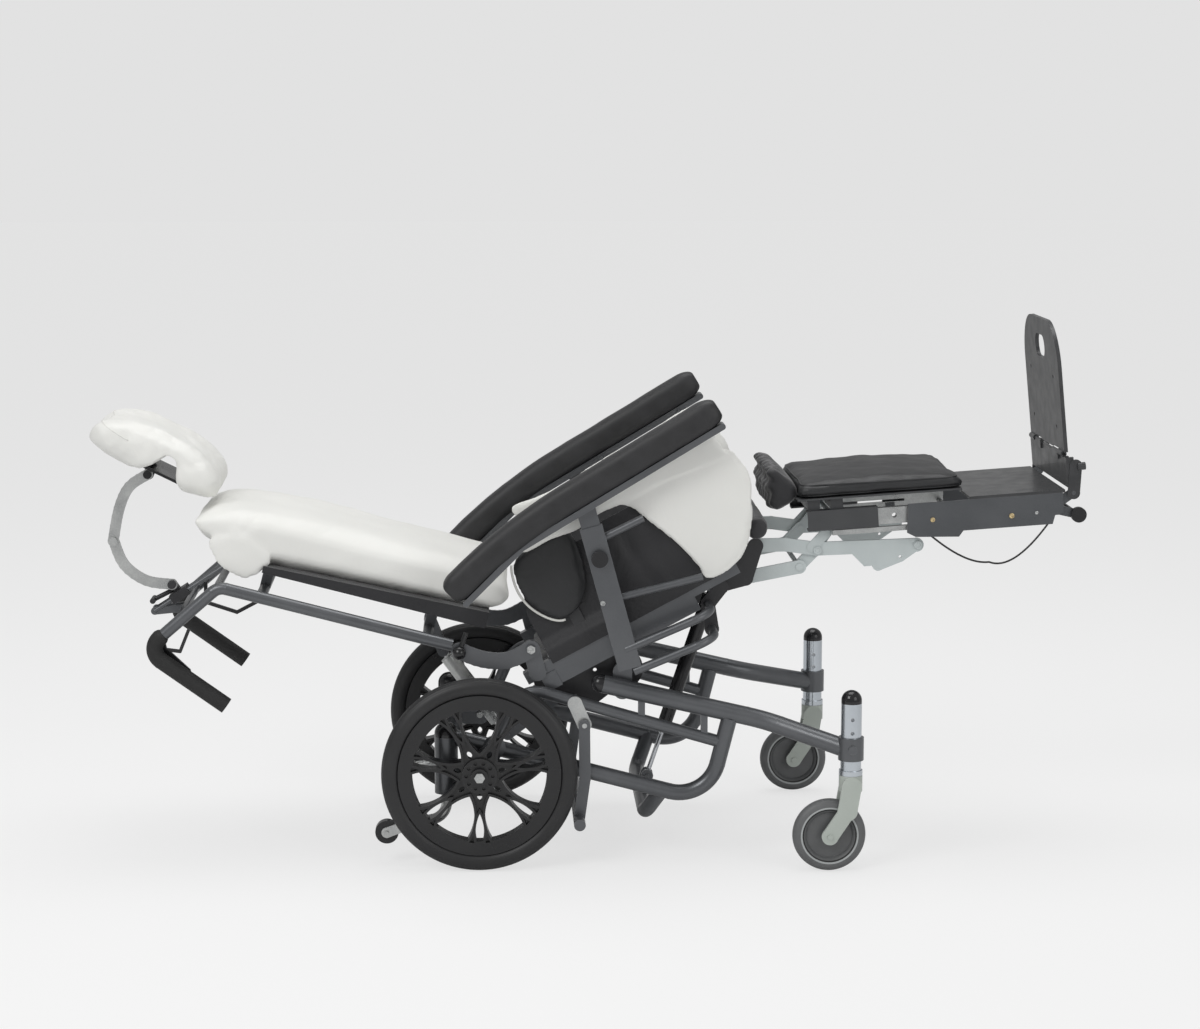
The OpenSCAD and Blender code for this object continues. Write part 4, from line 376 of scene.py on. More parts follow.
join(tree, place.outputs["Object"], level.inputs["Vector"])
join(tree, level.outputs[0], part.inputs[0])
join(tree, part.outputs["Z"], above.inputs["Value"])
join(tree, part.outputs["X"], beyond.inputs["Value"])
join(tree, above.outputs[0], upper.inputs[0])
join(tree, beyond.outputs[0], upper.inputs[1])
join(tree, upper.outputs[0], both.inputs["Factor"])
join(tree, tones[0], both.inputs["A"])
join(tree, tones[1], both.inputs["B"])
join(tree, both.outputs["Result"], skin.inputs["Base Color"])
gloss = put(tree, "ShaderNodeMapRange", From_Min=0.3, From_Max=0.7, To_Min=0.33, To_Max=0.46)
join(tree, f.outputs["Coarse"], gloss.inputs["Value"])
join(tree, gloss.outputs[0], skin.inputs["Roughness"])
skin.inputs["Metallic"].default_value = 0.15
b = put(tree, "ShaderNodeBump", Strength=0.15, Distance=0.0005)
join(tree, f.outputs["Fine"], b.inputs["Height"])
join(tree, b.outputs[0], skin.inputs["Normal"])
dress(leg_paint, "leg_frame")


# Foot box and foot plates: folded sheet steel, and flat plates with rounded corners.
# Dark grey satin coat with a fine speckle, rubbed paler along the edges.
plate_satin = hard_finish("plate_satin", (0.035, 0.036, 0.038), (0.052, 0.053, 0.056), 0.1, 0.36, 0.2, fine=1400.0,
                          coarse=30.0, worn=(0.09, 0.09, 0.092), wear=0.001, coat=0.15)
dress(plate_satin, "foot_top", "foot_plate_lower", "foot_plate_upper")
box_paint = hard_finish("box_paint", (0.075, 0.08, 0.086), (0.1, 0.105, 0.112), 0.3, 0.38, 0.15,
                        worn=(0.17, 0.17, 0.175))
dress(box_paint, "foot_sides")


# Push handle grips: tubes of closed foam pushed over the bent ends of the back tubes.
# Matt black, with fine pores.
grip_foam = hard_finish("grip_foam", (0.012, 0.012, 0.012), (0.026, 0.026, 0.026), 0.0, 0.75, 0.45, fine=1500.0,
                        coarse=40.0)
dress(grip_foam, "push_grips")


# Foot cable: a Bowden cable that leaves the slide under the calf pad and goes back into the foot box.
# A thin black plastic jacket over wire, held at both ends, so that it hangs in one stiff bow.
def between(a, b, t):
    return Vector(a) * (1 - t) + Vector(b) * t


def curve_through(a, b, c, t):
    return between(between(a, b, t), between(b, c, t), t)


CABLE_FROM, CABLE_LOW, CABLE_BOW, CABLE_TO = (352, 8), (480, -66), (535, -92), (626, 30)
cable_first = between(CABLE_FROM, CABLE_LOW, 0.6) - Vector((0, 32))
cable_points = []
for i in range(37):
    t = i / 36
    flat_at = (curve_through(CABLE_FROM, cable_first, CABLE_LOW, t * 2) if t < 0.5
               else curve_through(CABLE_LOW, CABLE_BOW, CABLE_TO, t * 2 - 1))
    cable_points.append(LEG_AT @ Vector((flat_at[0] / 1000, -0.184, flat_at[1] / 1000)))
cable_line = bpy.data.curves.new("foot_release_cable", "CURVE")
cable_line.dimensions = "3D"
cable_line.bevel_depth = 0.002
cable_line.bevel_resolution = 4
cable_line.use_fill_caps = True
run = cable_line.splines.new("POLY")
run.points.add(len(cable_points) - 1)
for p, q in zip(run.points, cable_points):
    p.co = (*q, 1)
cable = bpy.data.objects.new("foot_release_cable", cable_line)
bpy.context.collection.objects.link(cable)
cable_jacket = hard_finish("cable_jacket", (0.008, 0.008, 0.008), (0.016, 0.016, 0.016), 0.0, 0.35, 0.1)
cable_line.materials.append(cable_jacket)
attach(cable, "foot_box")
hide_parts("foot_cable")


# Seat cushion: foam under a wipe-clean cover of off-white coated fabric.
# It lies flat on the seat pan, crowns in the middle, and a piped seam runs round its upper edge.
HIP_PIVOT = Matrix.Translation((-0.1184, 0, 0.446))
SEAT_AT = HIP_PIVOT @ Matrix.Rotation(math.radians(-28), 4, "Y")


def level_at(pairs, t):
    for (a, u), (b, v) in zip(pairs, pairs[1:]):
        if t <= b:
            return u + (v - u) * (t - a) / (b - a)
    return pairs[-1][1]


def fullness(t, end, least):
    e = min(t, 1 - t) / end
    return 1 if e >= 1 else least + (1 - least) * math.sqrt(1 - (1 - e) ** 2)


def stations(m):
    return [(1 - math.cos(math.pi * i / m)) / 2 for i in range(m + 1)]


def rounded_box(n, w, h, power):
    out = []
    for k in range(n):
        c, s = math.cos(2 * math.pi * k / n), math.sin(2 * math.pi * k / n)
        out.append((w / 2 * math.copysign(abs(c) ** (2 / power), c), h / 2 * math.copysign(abs(s) ** (2 / power), s)))
    return out


def skin_over(name, rings, at):
    """A closed skin over rings of points, given in millimetres in the frame of what carries it."""
    bm = bmesh.new()
    rows = [[bm.verts.new(at @ (Vector(p) / 1000)) for p in ring] for ring in rings]
    n = len(rows[0])
    for a, b in zip(rows, rows[1:]):
        for k in range(n):
            bm.faces.new((a[k], a[(k + 1) % n], b[(k + 1) % n], b[k]))
    bm.faces.new(rows[0][::-1])
    bm.faces.new(rows[-1])
    bmesh.ops.recalc_face_normals(bm, faces=bm.faces[:])
    mesh = bpy.data.meshes.new(name)
    bm.to_mesh(mesh)
    bm.free()
    o = bpy.data.objects.new(name, mesh)
    bpy.context.collection.objects.link(o)
    return o


def cushion_rings(x0, x1, w, low, high, crown, end, pinch, n=72, m=56):
    rings = []
    for t in stations(m):
        zl, zh, f = level_at(low, t), level_at(high, t), fullness(t, end, 0.6)
        ring = []
        for y, z in rounded_box(n, w, zh - zl, 4.5):
            u = 2 * y / w
            side = 0.75 + 0.25 * f - pinch / w * math.sin(math.pi * t) * abs(u) ** 6
            rise = crown * (1 - u * u) * math.sin(math.pi * t) if z > 0 else 0
            ring.append((x0 + (x1 - x0) * t, y * side, (zl + zh) / 2 + z + rise))
        rings.append(ring)
    return rings


def swell(piece, cap, cell=0.005, pressure=4.0, held=None):
    """Blows a cover up with Cloth pressure, lets no point move further than the cap, and smooths the result."""
    nothing_selected()
    piece.select_set(True)
    bpy.context.view_layer.objects.active = piece
    grid = piece.modifiers.new("cells", "REMESH")
    grid.mode = "VOXEL"
    grid.voxel_size = cell
    bpy.ops.object.modifier_apply(modifier=grid.name)
    start = [v.co.copy() for v in piece.data.vertices]
    foam = piece.modifiers.new("foam", "CLOTH")
    foam.settings.quality = 4
    foam.settings.use_pressure = True
    foam.settings.uniform_pressure_force = pressure
    foam.settings.effector_weights.gravity = 0
    foam.point_cache.frame_start = 1
    foam.point_cache.frame_end = 20
    for frame_number in range(1, 21):
        bpy.context.scene.frame_set(frame_number)
    blown = piece.evaluated_get(bpy.context.evaluated_depsgraph_get()).data
    moved = [v.co.copy() for v in blown.vertices]
    piece.modifiers.remove(foam)
    bpy.context.scene.frame_set(1)
    for v, a, b in zip(piece.data.vertices, start, moved):
        step = b - a
        if step.length > cap:
            step *= cap / step.length
        v.co = a + step * (held(a) if held else 1)
    soften = piece.modifiers.new("soften", "SMOOTH")
    soften.factor = 0.5
    soften.iterations = 4
    bpy.ops.object.modifier_apply(modifier=soften.name)
    finer = piece.modifiers.new("finer", "SUBSURF")
    finer.levels = finer.render_levels = 1
    bpy.ops.object.modifier_apply(modifier=finer.name)
    bpy.ops.object.shade_smooth()


def crumple(piece, amount, size, stretch=(1, 1, 1)):
    """Slack in a cover: slow waves along its normals, longer along one way than the others."""
    normals = [v.normal.copy() for v in piece.data.vertices]
    for v, square in zip(piece.data.vertices, normals):
        q = Vector((v.co.x * stretch[0], v.co.y * stretch[1], v.co.z * stretch[2])) / size
        v.co += square * (noise.noise(q) * amount + noise.noise(q * 2.3 + Vector((7, 3, 5))) * amount * 0.4)
    piece.data.update()


def tube_along(name, points, r, square, closed, sides=8):
    """A round cord along points that lie in one plane, square to the direction given."""
    bm = bmesh.new()
    rows = []
    c = len(points)
    for i, p in enumerate(points):
        a = points[(i - 1) % c] if closed else points[max(0, i - 1)]
        b = points[(i + 1) % c] if closed else points[min(c - 1, i + 1)]
        along = (b - a).normalized()
        over = (square - along * square.dot(along)).normalized()
        across = along.cross(over)
        turns = [2 * math.pi * k / sides for k in range(sides)]
        rows.append([bm.verts.new(p + (over * math.cos(a) + across * math.sin(a)) * r) for a in turns])
    pairs = list(zip(rows, rows[1:])) + ([(rows[-1], rows[0])] if closed else [])
    for a, b in pairs:
        for k in range(sides):
            bm.faces.new((a[k], a[(k + 1) % sides], b[(k + 1) % sides], b[k]))
    if not closed:
        bm.faces.new(rows[0][::-1])
        bm.faces.new(rows[-1])
    bmesh.ops.recalc_face_normals(bm, faces=bm.faces[:])
    for f in bm.faces:
        f.smooth = True
    mesh = bpy.data.meshes.new(name)
    bm.to_mesh(mesh)
    bm.free()
    o = bpy.data.objects.new(name, mesh)
    bpy.context.collection.objects.link(o)
    return o


def seam_round(cushion, at, point, normal, keep=None):
    """The line where a plane cuts a cushion's skin, in order, as points a few millimetres apart."""
    bm = bmesh.new()
    bm.from_mesh(cushion.data)
    square = (at.to_3x3() @ Vector(normal)).normalized()
    cut = bmesh.ops.bisect_plane(bm, geom=bm.verts[:] + bm.edges[:] + bm.faces[:],
                                 plane_co=at @ (Vector(point) / 1000), plane_no=square)
    edges = {g for g in cut["geom_cut"] if isinstance(g, bmesh.types.BMEdge)}
    best = []
    while edges:
        e = edges.pop()
        line = [e.verts[0], e.verts[1]]
        grown = True
        while grown:
            grown = False
            for e in line[-1].link_edges:
                if e in edges:
                    edges.remove(e)
                    line.append(e.other_vert(line[-1]))
                    grown = True
                    break
        if len(line) > len(best):
            best = line
    points = [v.co.copy() for v in best]
    bm.free()
    closed = (points[0] - points[-1]).length < 0.004
    if closed:
        points = points[:-1]
    if keep:
        back = at.inverted()
        good = [keep((back @ p) * 1000) for p in points]
        if not all(good):
            first = next(i for i in range(len(points)) if good[i] and not good[i - 1])
            points = points[first:] + points[:first]
            good = good[first:] + good[:first]
            points = points[:good.index(False)] if False in good else points
            closed = False
    spaced = [points[0]]
    for p in points[1:]:
        if (p - spaced[-1]).length > 0.005:
            spaced.append(p)
    last = len(spaced) - 1
    for _ in range(2):
        spaced = [(spaced[i - 1] + p * 2 + spaced[(i + 1) % len(spaced)]) / 4 if closed or 0 < i < last else p
                  for i, p in enumerate(spaced)]
    return spaced, square, closed


def pipe_seam(name, cushion, at, point, normal, r, finish, body, keep=None):
    line, square, closed = seam_round(cushion, at, point, normal, keep)
    o = tube_along(name, line, r, square, closed)
    o.data.materials.append(finish)
    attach(o, body)
    return o


# Woven ground: the fine over-and-under of a cloth, on any face, from three crossed waves.
weave, g_in, g_out = value_group("weave", [("Threads", "NodeSocketFloat", 2500.0)], [("Height", "NodeSocketFloat")])
place = put(weave, "ShaderNodeTexCoord")
many = put(weave, "ShaderNodeVectorMath", operation="SCALE")
waves = put(weave, "ShaderNodeVectorMath", operation="SINE")
part = put(weave, "ShaderNodeSeparateXYZ")
join(weave, place.outputs["Object"], many.inputs[0])
join(weave, g_in.outputs["Threads"], many.inputs["Scale"])
join(weave, many.outputs[0], waves.inputs[0])
join(weave, waves.outputs[0], part.inputs[0])
total = None
for a, b in (("X", "Y"), ("Y", "Z"), ("Z", "X")):
    times = put(weave, "ShaderNodeMath", operation="MULTIPLY")
    join(weave, part.outputs[a], times.inputs[0])
    join(weave, part.outputs[b], times.inputs[1])
    if total:
        more = put(weave, "ShaderNodeMath", operation="ADD")
        join(weave, total, more.inputs[0])
        join(weave, times.outputs[0], more.inputs[1])
        total = more.outputs[0]
    else:
        total = times.outputs[0]
join(weave, total, g_out.inputs["Height"])


def cover_finish(name, low, high, rough, threads, weave_share, wrinkle, wrinkle_size, sheen):
    """A cover: soft patches of tone, its weave, and wrinkles that gather and fade."""
    m, t, s = new_material(name)
    f = put(t, "ShaderNodeGroup", node_tree=fleck, Fine=600.0, Coarse=7.0)
    w = put(t, "ShaderNodeGroup", node_tree=weave, Threads=threads)
    tone = put(t, "ShaderNodeMix", data_type="RGBA")
    tone.inputs["A"].default_value = (*low, 1)
    tone.inputs["B"].default_value = (*high, 1)
    join(t, f.outputs["Coarse"], tone.inputs["Factor"])
    join(t, tone.outputs["Result"], s.inputs["Base Color"])
    gloss = put(t, "ShaderNodeMapRange", From_Min=0.3, From_Max=0.7, To_Min=rough - 0.06, To_Max=rough + 0.06)
    join(t, f.outputs["Coarse"], gloss.inputs["Value"])
    join(t, gloss.outputs[0], s.inputs["Roughness"])
    place = put(t, "ShaderNodeTexCoord")
    creases = put(t, "ShaderNodeTexNoise", Scale=wrinkle_size, Detail=4.0, Distortion=1.2)
    ridge = put(t, "ShaderNodeMapRange", From_Min=0.35, From_Max=0.65)
    join(t, place.outputs["Object"], creases.inputs["Vector"])
    join(t, creases.outputs["Fac"], ridge.inputs["Value"])
    large = put(t, "ShaderNodeBump", Strength=wrinkle, Distance=0.004)
    join(t, ridge.outputs[0], large.inputs["Height"])
    grain = put(t, "ShaderNodeMath", operation="MULTIPLY_ADD")
    grain.inputs[1].default_value = weave_share
    join(t, w.outputs["Height"], grain.inputs[0])
    join(t, f.outputs["Fine"], grain.inputs[2])
    small = put(t, "ShaderNodeBump", Strength=0.25, Distance=0.0003)
    join(t, grain.outputs[0], small.inputs["Height"])
    join(t, large.outputs[0], small.inputs["Normal"])
    join(t, small.outputs[0], s.inputs["Normal"])
    s.inputs["Sheen Weight"].default_value = sheen
    s.inputs["Sheen Roughness"].default_value = 0.5
    return m


cover_white = cover_finish("cover_white", (0.8, 0.8, 0.765), (0.86, 0.86, 0.83), 0.55, 2600.0, 0.5, 0.12, 9.0, 0.1)
seam_white = cover_finish("seam_white", (0.7, 0.7, 0.66), (0.8, 0.8, 0.77), 0.6, 3200.0, 0.8, 0.1, 30.0, 0.1)

seat_low = [[0, -35], [1, -35]]
seat_high = [[0, 10], [0.03, 19], [0.5, 22], [0.96, 20], [1, 6]]
seat_pad = skin_over("seat_pad", cushion_rings(24, 500, 402, seat_low, seat_high, 12, 0.06, 4), SEAT_AT)
seat_floor = SEAT_AT.inverted()
swell(seat_pad, 0.007, cell=0.006, held=lambda p: 0.0 if (seat_floor @ p).z < -0.03 else 1.0)
crumple(seat_pad, 0.0012, 0.07)
seat_pad.data.materials.append(cover_white)
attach(seat_pad, "seat")
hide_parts("seat_cushion")
pipe_seam("seat_pad_piping", seat_pad, SEAT_AT, (260, 0, 12), (0, 0, 1), 0.0022, seam_white, "seat")


# Back cushion: a long padded shell that bulges over the top of the backrest and hooks down behind it.
# The same off-white cover, with one piped seam round the end; its two flaps fold down past the back tubes.
BACK_AT = HIP_PIVOT @ Matrix.Rotation(math.radians(14.7), 4, "Y")


def smooth_loop(points, steps):
    c, out = len(points), []
    for i in range(c):
        a, b, d, e = (Vector(points[(i + k) % c]) for k in (-1, 0, 1, 2))
        for k in range(steps):
            t = k / steps
            out.append(b + ((d - a) * t + (2 * a - 5 * b + 4 * d - e) * t * t + (3 * b - a - 3 * d + e) * t ** 3) / 2)
    return out


def flat_rings(outline, y, t, shrink, dome, m=9):
    """Rings of a flat pad with a bulged face on each side, from its outline in X and Z."""
    middle = sum(outline, Vector((0, 0))) / len(outline)

    def ring(share, at_y):
        return [(q.x, at_y, q.y) for q in (middle + (p - middle) * share for p in outline)]

    angles = [math.pi / 2 * k / m for k in range(-m, m + 1)]
    rings = [ring(1 - shrink * (1 - math.cos(a)), y + t / 2 * math.sin(a)) for a in angles]
    for inner, rise in ((0.8, 0.45), (0.5, 0.85), (0.2, 1.0)):
        rings.insert(0, ring((1 - shrink) * inner, y - t / 2 - dome * rise))
        rings.append(ring((1 - shrink) * inner, y + t / 2 + dome * rise))
    return rings


def joined(name, parts):
    nothing_selected()
    for o in parts:
        o.select_set(True)
    bpy.context.view_layer.objects.active = parts[0]
    bpy.ops.object.join()
    o = bpy.context.object
    o.name = name
    return o


back_low = [[0, 74], [0.03, 55], [0.12, 37], [0.25, 28], [0.938, 48], [0.98, 57], [1, 82]]
back_high = [[0, 78], [0.02, 89], [0.06, 101], [0.12, 112], [0.22, 121], [0.35, 125], [0.92, 125], [0.98, 108],
             [1, 84]]
back_flap = [(-700, 48), (-669, 3), (-609, -14), (-576, 9), (-562, 42), (-630, 64)]
back_shell = skin_over("back_pad", cushion_rings(-739, -61, 402, back_low, back_high, 5, 0.1, 5), BACK_AT)
back_pad = joined("back_pad", [back_shell] + [
    skin_over("flap", flat_rings(smooth_loop(back_flap, 6), y, 8, 0.05, 0), BACK_AT) for y in (-199, 199)])
back_floor = BACK_AT.inverted()
swell(back_pad, 0.008, cell=0.006,
      held=lambda p: 0.1 if (back_floor @ p).z < 0.03 and (back_floor @ p).x > -0.56 else 1.0)
crumple(back_pad, 0.0025, 0.12, (1, 1, 1.6))
back_pad.data.materials.append(cover_white)
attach(back_pad, "backrest")
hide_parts("back_cushion")
pipe_seam("back_pad_piping", back_pad, BACK_AT, (-717, 0, 70), (0.36, 0, 1), 0.002, seam_white,
          "backrest", keep=lambda p: p.z > 33)
back_cloth = cover_finish("back_cloth", (0.012, 0.012, 0.014), (0.022, 0.022, 0.025), 0.6, 2400.0, 1.5, 0.3, 16.0,
                          0.25)
dress(back_cloth, "back_board")


# Headrest cushion: a curved bean of foam in an off-white cover, open underneath round its shell.
# The cover's side is cut away to an arch where the headrest's arm comes in, and its hems are stitched.
HEAD_AT = BACK_AT @ Matrix.Translation((-0.842, 0, 0.176)) @ Matrix.Rotation(math.radians(11.7), 4, "Y")
arch = [[-34, -60], [-21, -34], [-9, -24], [-1, -12], [9, 4], [17, 21], [44, 20], [62, -30], [66, -60]]
head_rings = []
for t in stations(48):
    f, y = fullness(t, 0.2, 0.5), (t - 0.5) * 274
    ring = []
    for x, z in rounded_box(96, 290 * (0.5 + 0.5 * f), 87 * f, 2.7):
        u = 2 * x / 290
        z += 10 * (2 * t - 1) ** 2 - 16 * u * u
        if -34 < x < 66 and z < level_at(arch, x):
            z = level_at(arch, x)
        ring.append((x, y, z))
    head_rings.append(ring)
head_pad = skin_over("head_pad", head_rings, HEAD_AT)
swell(head_pad, 0.005, cell=0.005, pressure=3.0)
crumple(head_pad, 0.003, 0.06, (1.4, 0.8, 1.4))
head_pad.data.materials.append(cover_white)
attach(head_pad, "headrest")
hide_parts("headrest_cushion")
pipe_seam("head_pad_seam", head_pad, HEAD_AT, (0, 0, 4), (0.1, 0, 1), 0.0012, seam_white,
          "headrest", keep=lambda p: p.x > 72 or p.x < -60)


# Armrest covers: on each side an off-white strip hangs under the armrest, with a flap sewn to it.
# Two layers of the coated fabric with thin wadding; the flap tapers down and forward past the seat rail.
strip_line = [(74, 214), (140, 209), (214, 207), (260, 212), (390, 218), (522, 225), (537, 205), (541, 184),
              (532, 164), (405, 179), (310, 177), (256, 181), (200, 174), (140, 181), (78, 184)]
flap_line = [(302, 186), (410, 190), (536, 182), (560, 140), (562, 100), (545, 59), (526, 21), (484, -27), (436, -48),
             (387, -44), (378, -6), (360, 57), (338, 112), (318, 160)]
for side, name in ((-1, "right"), (1, "left")):
    flap = joined("arm_cover_" + name, [
        skin_over("arm_cover_" + name, flat_rings(smooth_loop(strip_line, 5), side * 245.5, 6, 0.03, 1), SEAT_AT),
        skin_over("flap", flat_rings(smooth_loop(flap_line, 6), side * 243, 6, 0.04, 1.5), SEAT_AT)])
    swell(flap, 0.003, cell=0.003, pressure=2.0)
    crumple(flap, 0.002, 0.09, (1, 1, 1))
    flap.data.materials.append(cover_white)
    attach(flap, "armrest_" + name)
    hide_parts("side_panel_" + name)


# Hip pads: flat pads on the seat's sides at hip height, black leatherette with a white piped edge.
# Foam on a board; the piping runs down the rear edge and under it, half sunk between the faces.
grain, g_in, g_out = value_group("leather_grain", [("Cells", "NodeSocketFloat", 900.0)],
                                 [("Height", "NodeSocketFloat")])
place = put(grain, "ShaderNodeTexCoord")
bend = put(grain, "ShaderNodeTexNoise", Scale=400.0, Detail=2.0)
shift = put(grain, "ShaderNodeVectorMath", operation="MULTIPLY_ADD")
shift.inputs[1].default_value = (0.0012, 0.0012, 0.0012)
cells = put(grain, "ShaderNodeTexVoronoi", feature="SMOOTH_F1", Smoothness=0.4)
join(grain, place.outputs["Object"], bend.inputs["Vector"])
join(grain, bend.outputs["Color"], shift.inputs[0])
join(grain, place.outputs["Object"], shift.inputs[2])
join(grain, shift.outputs[0], cells.inputs["Vector"])
join(grain, g_in.outputs["Cells"], cells.inputs["Scale"])
join(grain, cells.outputs["Distance"], g_out.inputs["Height"])

leatherette, tree, skin = new_material("leatherette")
f = put(tree, "ShaderNodeGroup", node_tree=fleck, Fine=700.0, Coarse=10.0)
g = put(tree, "ShaderNodeGroup", node_tree=grain, Cells=850.0)
tone = put(tree, "ShaderNodeMix", data_type="RGBA")
tone.inputs["A"].default_value = (0.013, 0.0135, 0.0145, 1)
tone.inputs["B"].default_value = (0.03, 0.031, 0.033, 1)
join(tree, f.outputs["Coarse"], tone.inputs["Factor"])
join(tree, tone.outputs["Result"], skin.inputs["Base Color"])
gloss = put(tree, "ShaderNodeMapRange", From_Min=0.3, From_Max=0.7, To_Min=0.36, To_Max=0.5)
join(tree, f.outputs["Coarse"], gloss.inputs["Value"])
join(tree, gloss.outputs[0], skin.inputs["Roughness"])
place = put(tree, "ShaderNodeTexCoord")
creases = put(tree, "ShaderNodeTexNoise", Scale=14.0, Detail=5.0, Distortion=1.5)
join(tree, place.outputs["Object"], creases.inputs["Vector"])
large = put(tree, "ShaderNodeBump", Strength=0.25, Distance=0.006)
small = put(tree, "ShaderNodeBump", Strength=0.35, Distance=0.0004)
join(tree, creases.outputs["Fac"], large.inputs["Height"])
join(tree, large.outputs[0], small.inputs["Normal"])
join(tree, g.outputs["Height"], small.inputs["Height"])
join(tree, small.outputs[0], skin.inputs["Normal"])

hip_line = smooth_loop([(38, 75), (34, 137), (64, 184), (168, 190), (190, 150), (170, 70), (130, 26), (78, 22)], 8)
hips = []
for y in (-226, 226):
    inside = [p * 0.985 + Vector((1.5, 1.7)) for p in hip_line]
    hips.append(skin_over("hip_pad", flat_rings(inside, y, 10, 0.07, 2), SEAT_AT))
hip_pad = joined("hip_pads", hips)
swell(hip_pad, 0.003, cell=0.005, pressure=2.0)
hip_pad.data.materials.append(leatherette)
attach(hip_pad, "seat")
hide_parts("hip_panels")
rims = []
for y in (-0.226, 0.226):
    edge_line = [SEAT_AT @ Vector((p[0] / 1000, y, p[1] / 1000)) for p in hip_line[54:] + hip_line[:14]]
    rims.append(tube_along("hip_pad_piping", edge_line, 0.0026, Vector((0, 1, 0)), False))
hip_rim = joined("hip_pad_piping", rims)
hip_rim.data.materials.clear()
hip_rim.data.materials.append(seam_white)
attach(hip_rim, "seat")


# Calf pad: a boxed foam pad on a board, in black leatherette with piped edges.
# Its top is lightly crowned and slack enough to show soft creases across it.
calf_low = [[0, 93.5], [1, 93.5]]
calf_high = [[0, 113], [0.03, 120], [0.5, 124], [0.93, 117], [1, 107]]
calf_pad = skin_over("calf_cushion", cushion_rings(92, 440, 372, calf_low, calf_high, 7, 0.06, 3), LEG_AT)
calf_floor = LEG_AT.inverted()
swell(calf_pad, 0.006, cell=0.005, held=lambda p: 0.0 if (calf_floor @ p).z < 0.0955 else 1.0)
crumple(calf_pad, 0.0022, 0.05, (1, 0.6, 1))
calf_pad.data.materials.append(leatherette)
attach(calf_pad, "legrest")
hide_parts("calf_pad")
for name, z, lean, r in (("calf_piping_top", 117, 0.012, 0.0022), ("calf_piping_base", 97, 0, 0.002)):
    pipe_seam(name, calf_pad, LEG_AT, (266, 0, z), (lean, 0, 1), r, leatherette, "legrest")


# Armrest pads: bent rolls of integral foam on the steel strips of the posts.
# One moulding each, with a soft satin skin.
pad_foam = hard_finish("pad_foam", (0.017, 0.017, 0.018), (0.03, 0.03, 0.032), 0.0, 0.5, 0.5, fine=1100.0, coarse=22.0,
                       worn=(0.05, 0.05, 0.052))
tail, knee, tip = Vector((-66, 156)), Vector((88, 203)), Vector((557, 229))
low_way, high_way = (knee - tail).normalized(), (tip - knee).normalized()
low_up, high_up = Vector((-low_way.y, low_way.x)), Vector((-high_way.y, high_way.x))
PAD_LIFT = (13 + 60) / 2 - 1
pad_from = tail + low_up * PAD_LIFT - low_way * 12
pad_knee = knee + (low_up + high_up).normalized() * PAD_LIFT
pad_to = tip + high_up * PAD_LIFT + high_way * 12


def pad_line(t):
    q, s = between(pad_knee, pad_from, 0.75), between(pad_knee, pad_to, 0.3)
    if t < 0.1:
        return between(pad_from, q, t / 0.1)
    if t < 0.45:
        return curve_through(q, pad_knee, s, (t - 0.1) / 0.35)
    return between(s, pad_to, (t - 0.45) / 0.55)


for side, name in ((-1, "right"), (1, "left")):
    rings = []
    for t in stations(72):
        p = pad_line(t)
        d = (pad_line(min(1, t + 0.01)) - pad_line(max(0, t - 0.01))).normalized()
        f = fullness(t, 0.06, 0.45)
        ring = []
        for a, b in rounded_box(56, 58 * f, 60 * f, 3.2):
            ring.append((p.x - d.y * b, side * (288 + a), p.y + d.x * b))
        rings.append(ring)
    roll = skin_over("arm_roll_" + name, rings, SEAT_AT)
    nothing_selected()
    roll.select_set(True)
    bpy.context.view_layer.objects.active = roll
    bpy.ops.object.shade_smooth()
    crumple(roll, 0.0008, 0.05)
    roll.data.materials.append(pad_foam)
    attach(roll, "armrest_" + name)
    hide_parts("arm_pad_" + name)


# Side cloths, under-seat bag and front roll: black woven nylon, sewn to the seat's cushion and tubes.
# The side cloths hang in soft upright folds; the bag sags under the seat; the roll pads the pan's front edge.
nylon = cover_finish("nylon_black", (0.011, 0.011, 0.013), (0.021, 0.021, 0.024), 0.5, 2300.0, 1.6, 0.35, 12.0, 0.3)


def cloth_low(x):
    return level_at([(24, -50), (430, -50), (512, 4), (526, 96)], x)


def cloth_high(x):
    return level_at([(24, 60), (44, 120), (60, 145), (206, 150), (250, 164), (420, 164), (526, 102)], x)


def cloth_out(x, z):
    """How far out the cloth hangs: it tucks in behind the hip pad, and spreads over the seat rail below it."""
    tuck = min(1, max(0, (204 - x) / 10)) * min(1, max(0, (z + 26) / 30))
    return 230.5 - 16 * tuck * tuck * (3 - 2 * tuck)


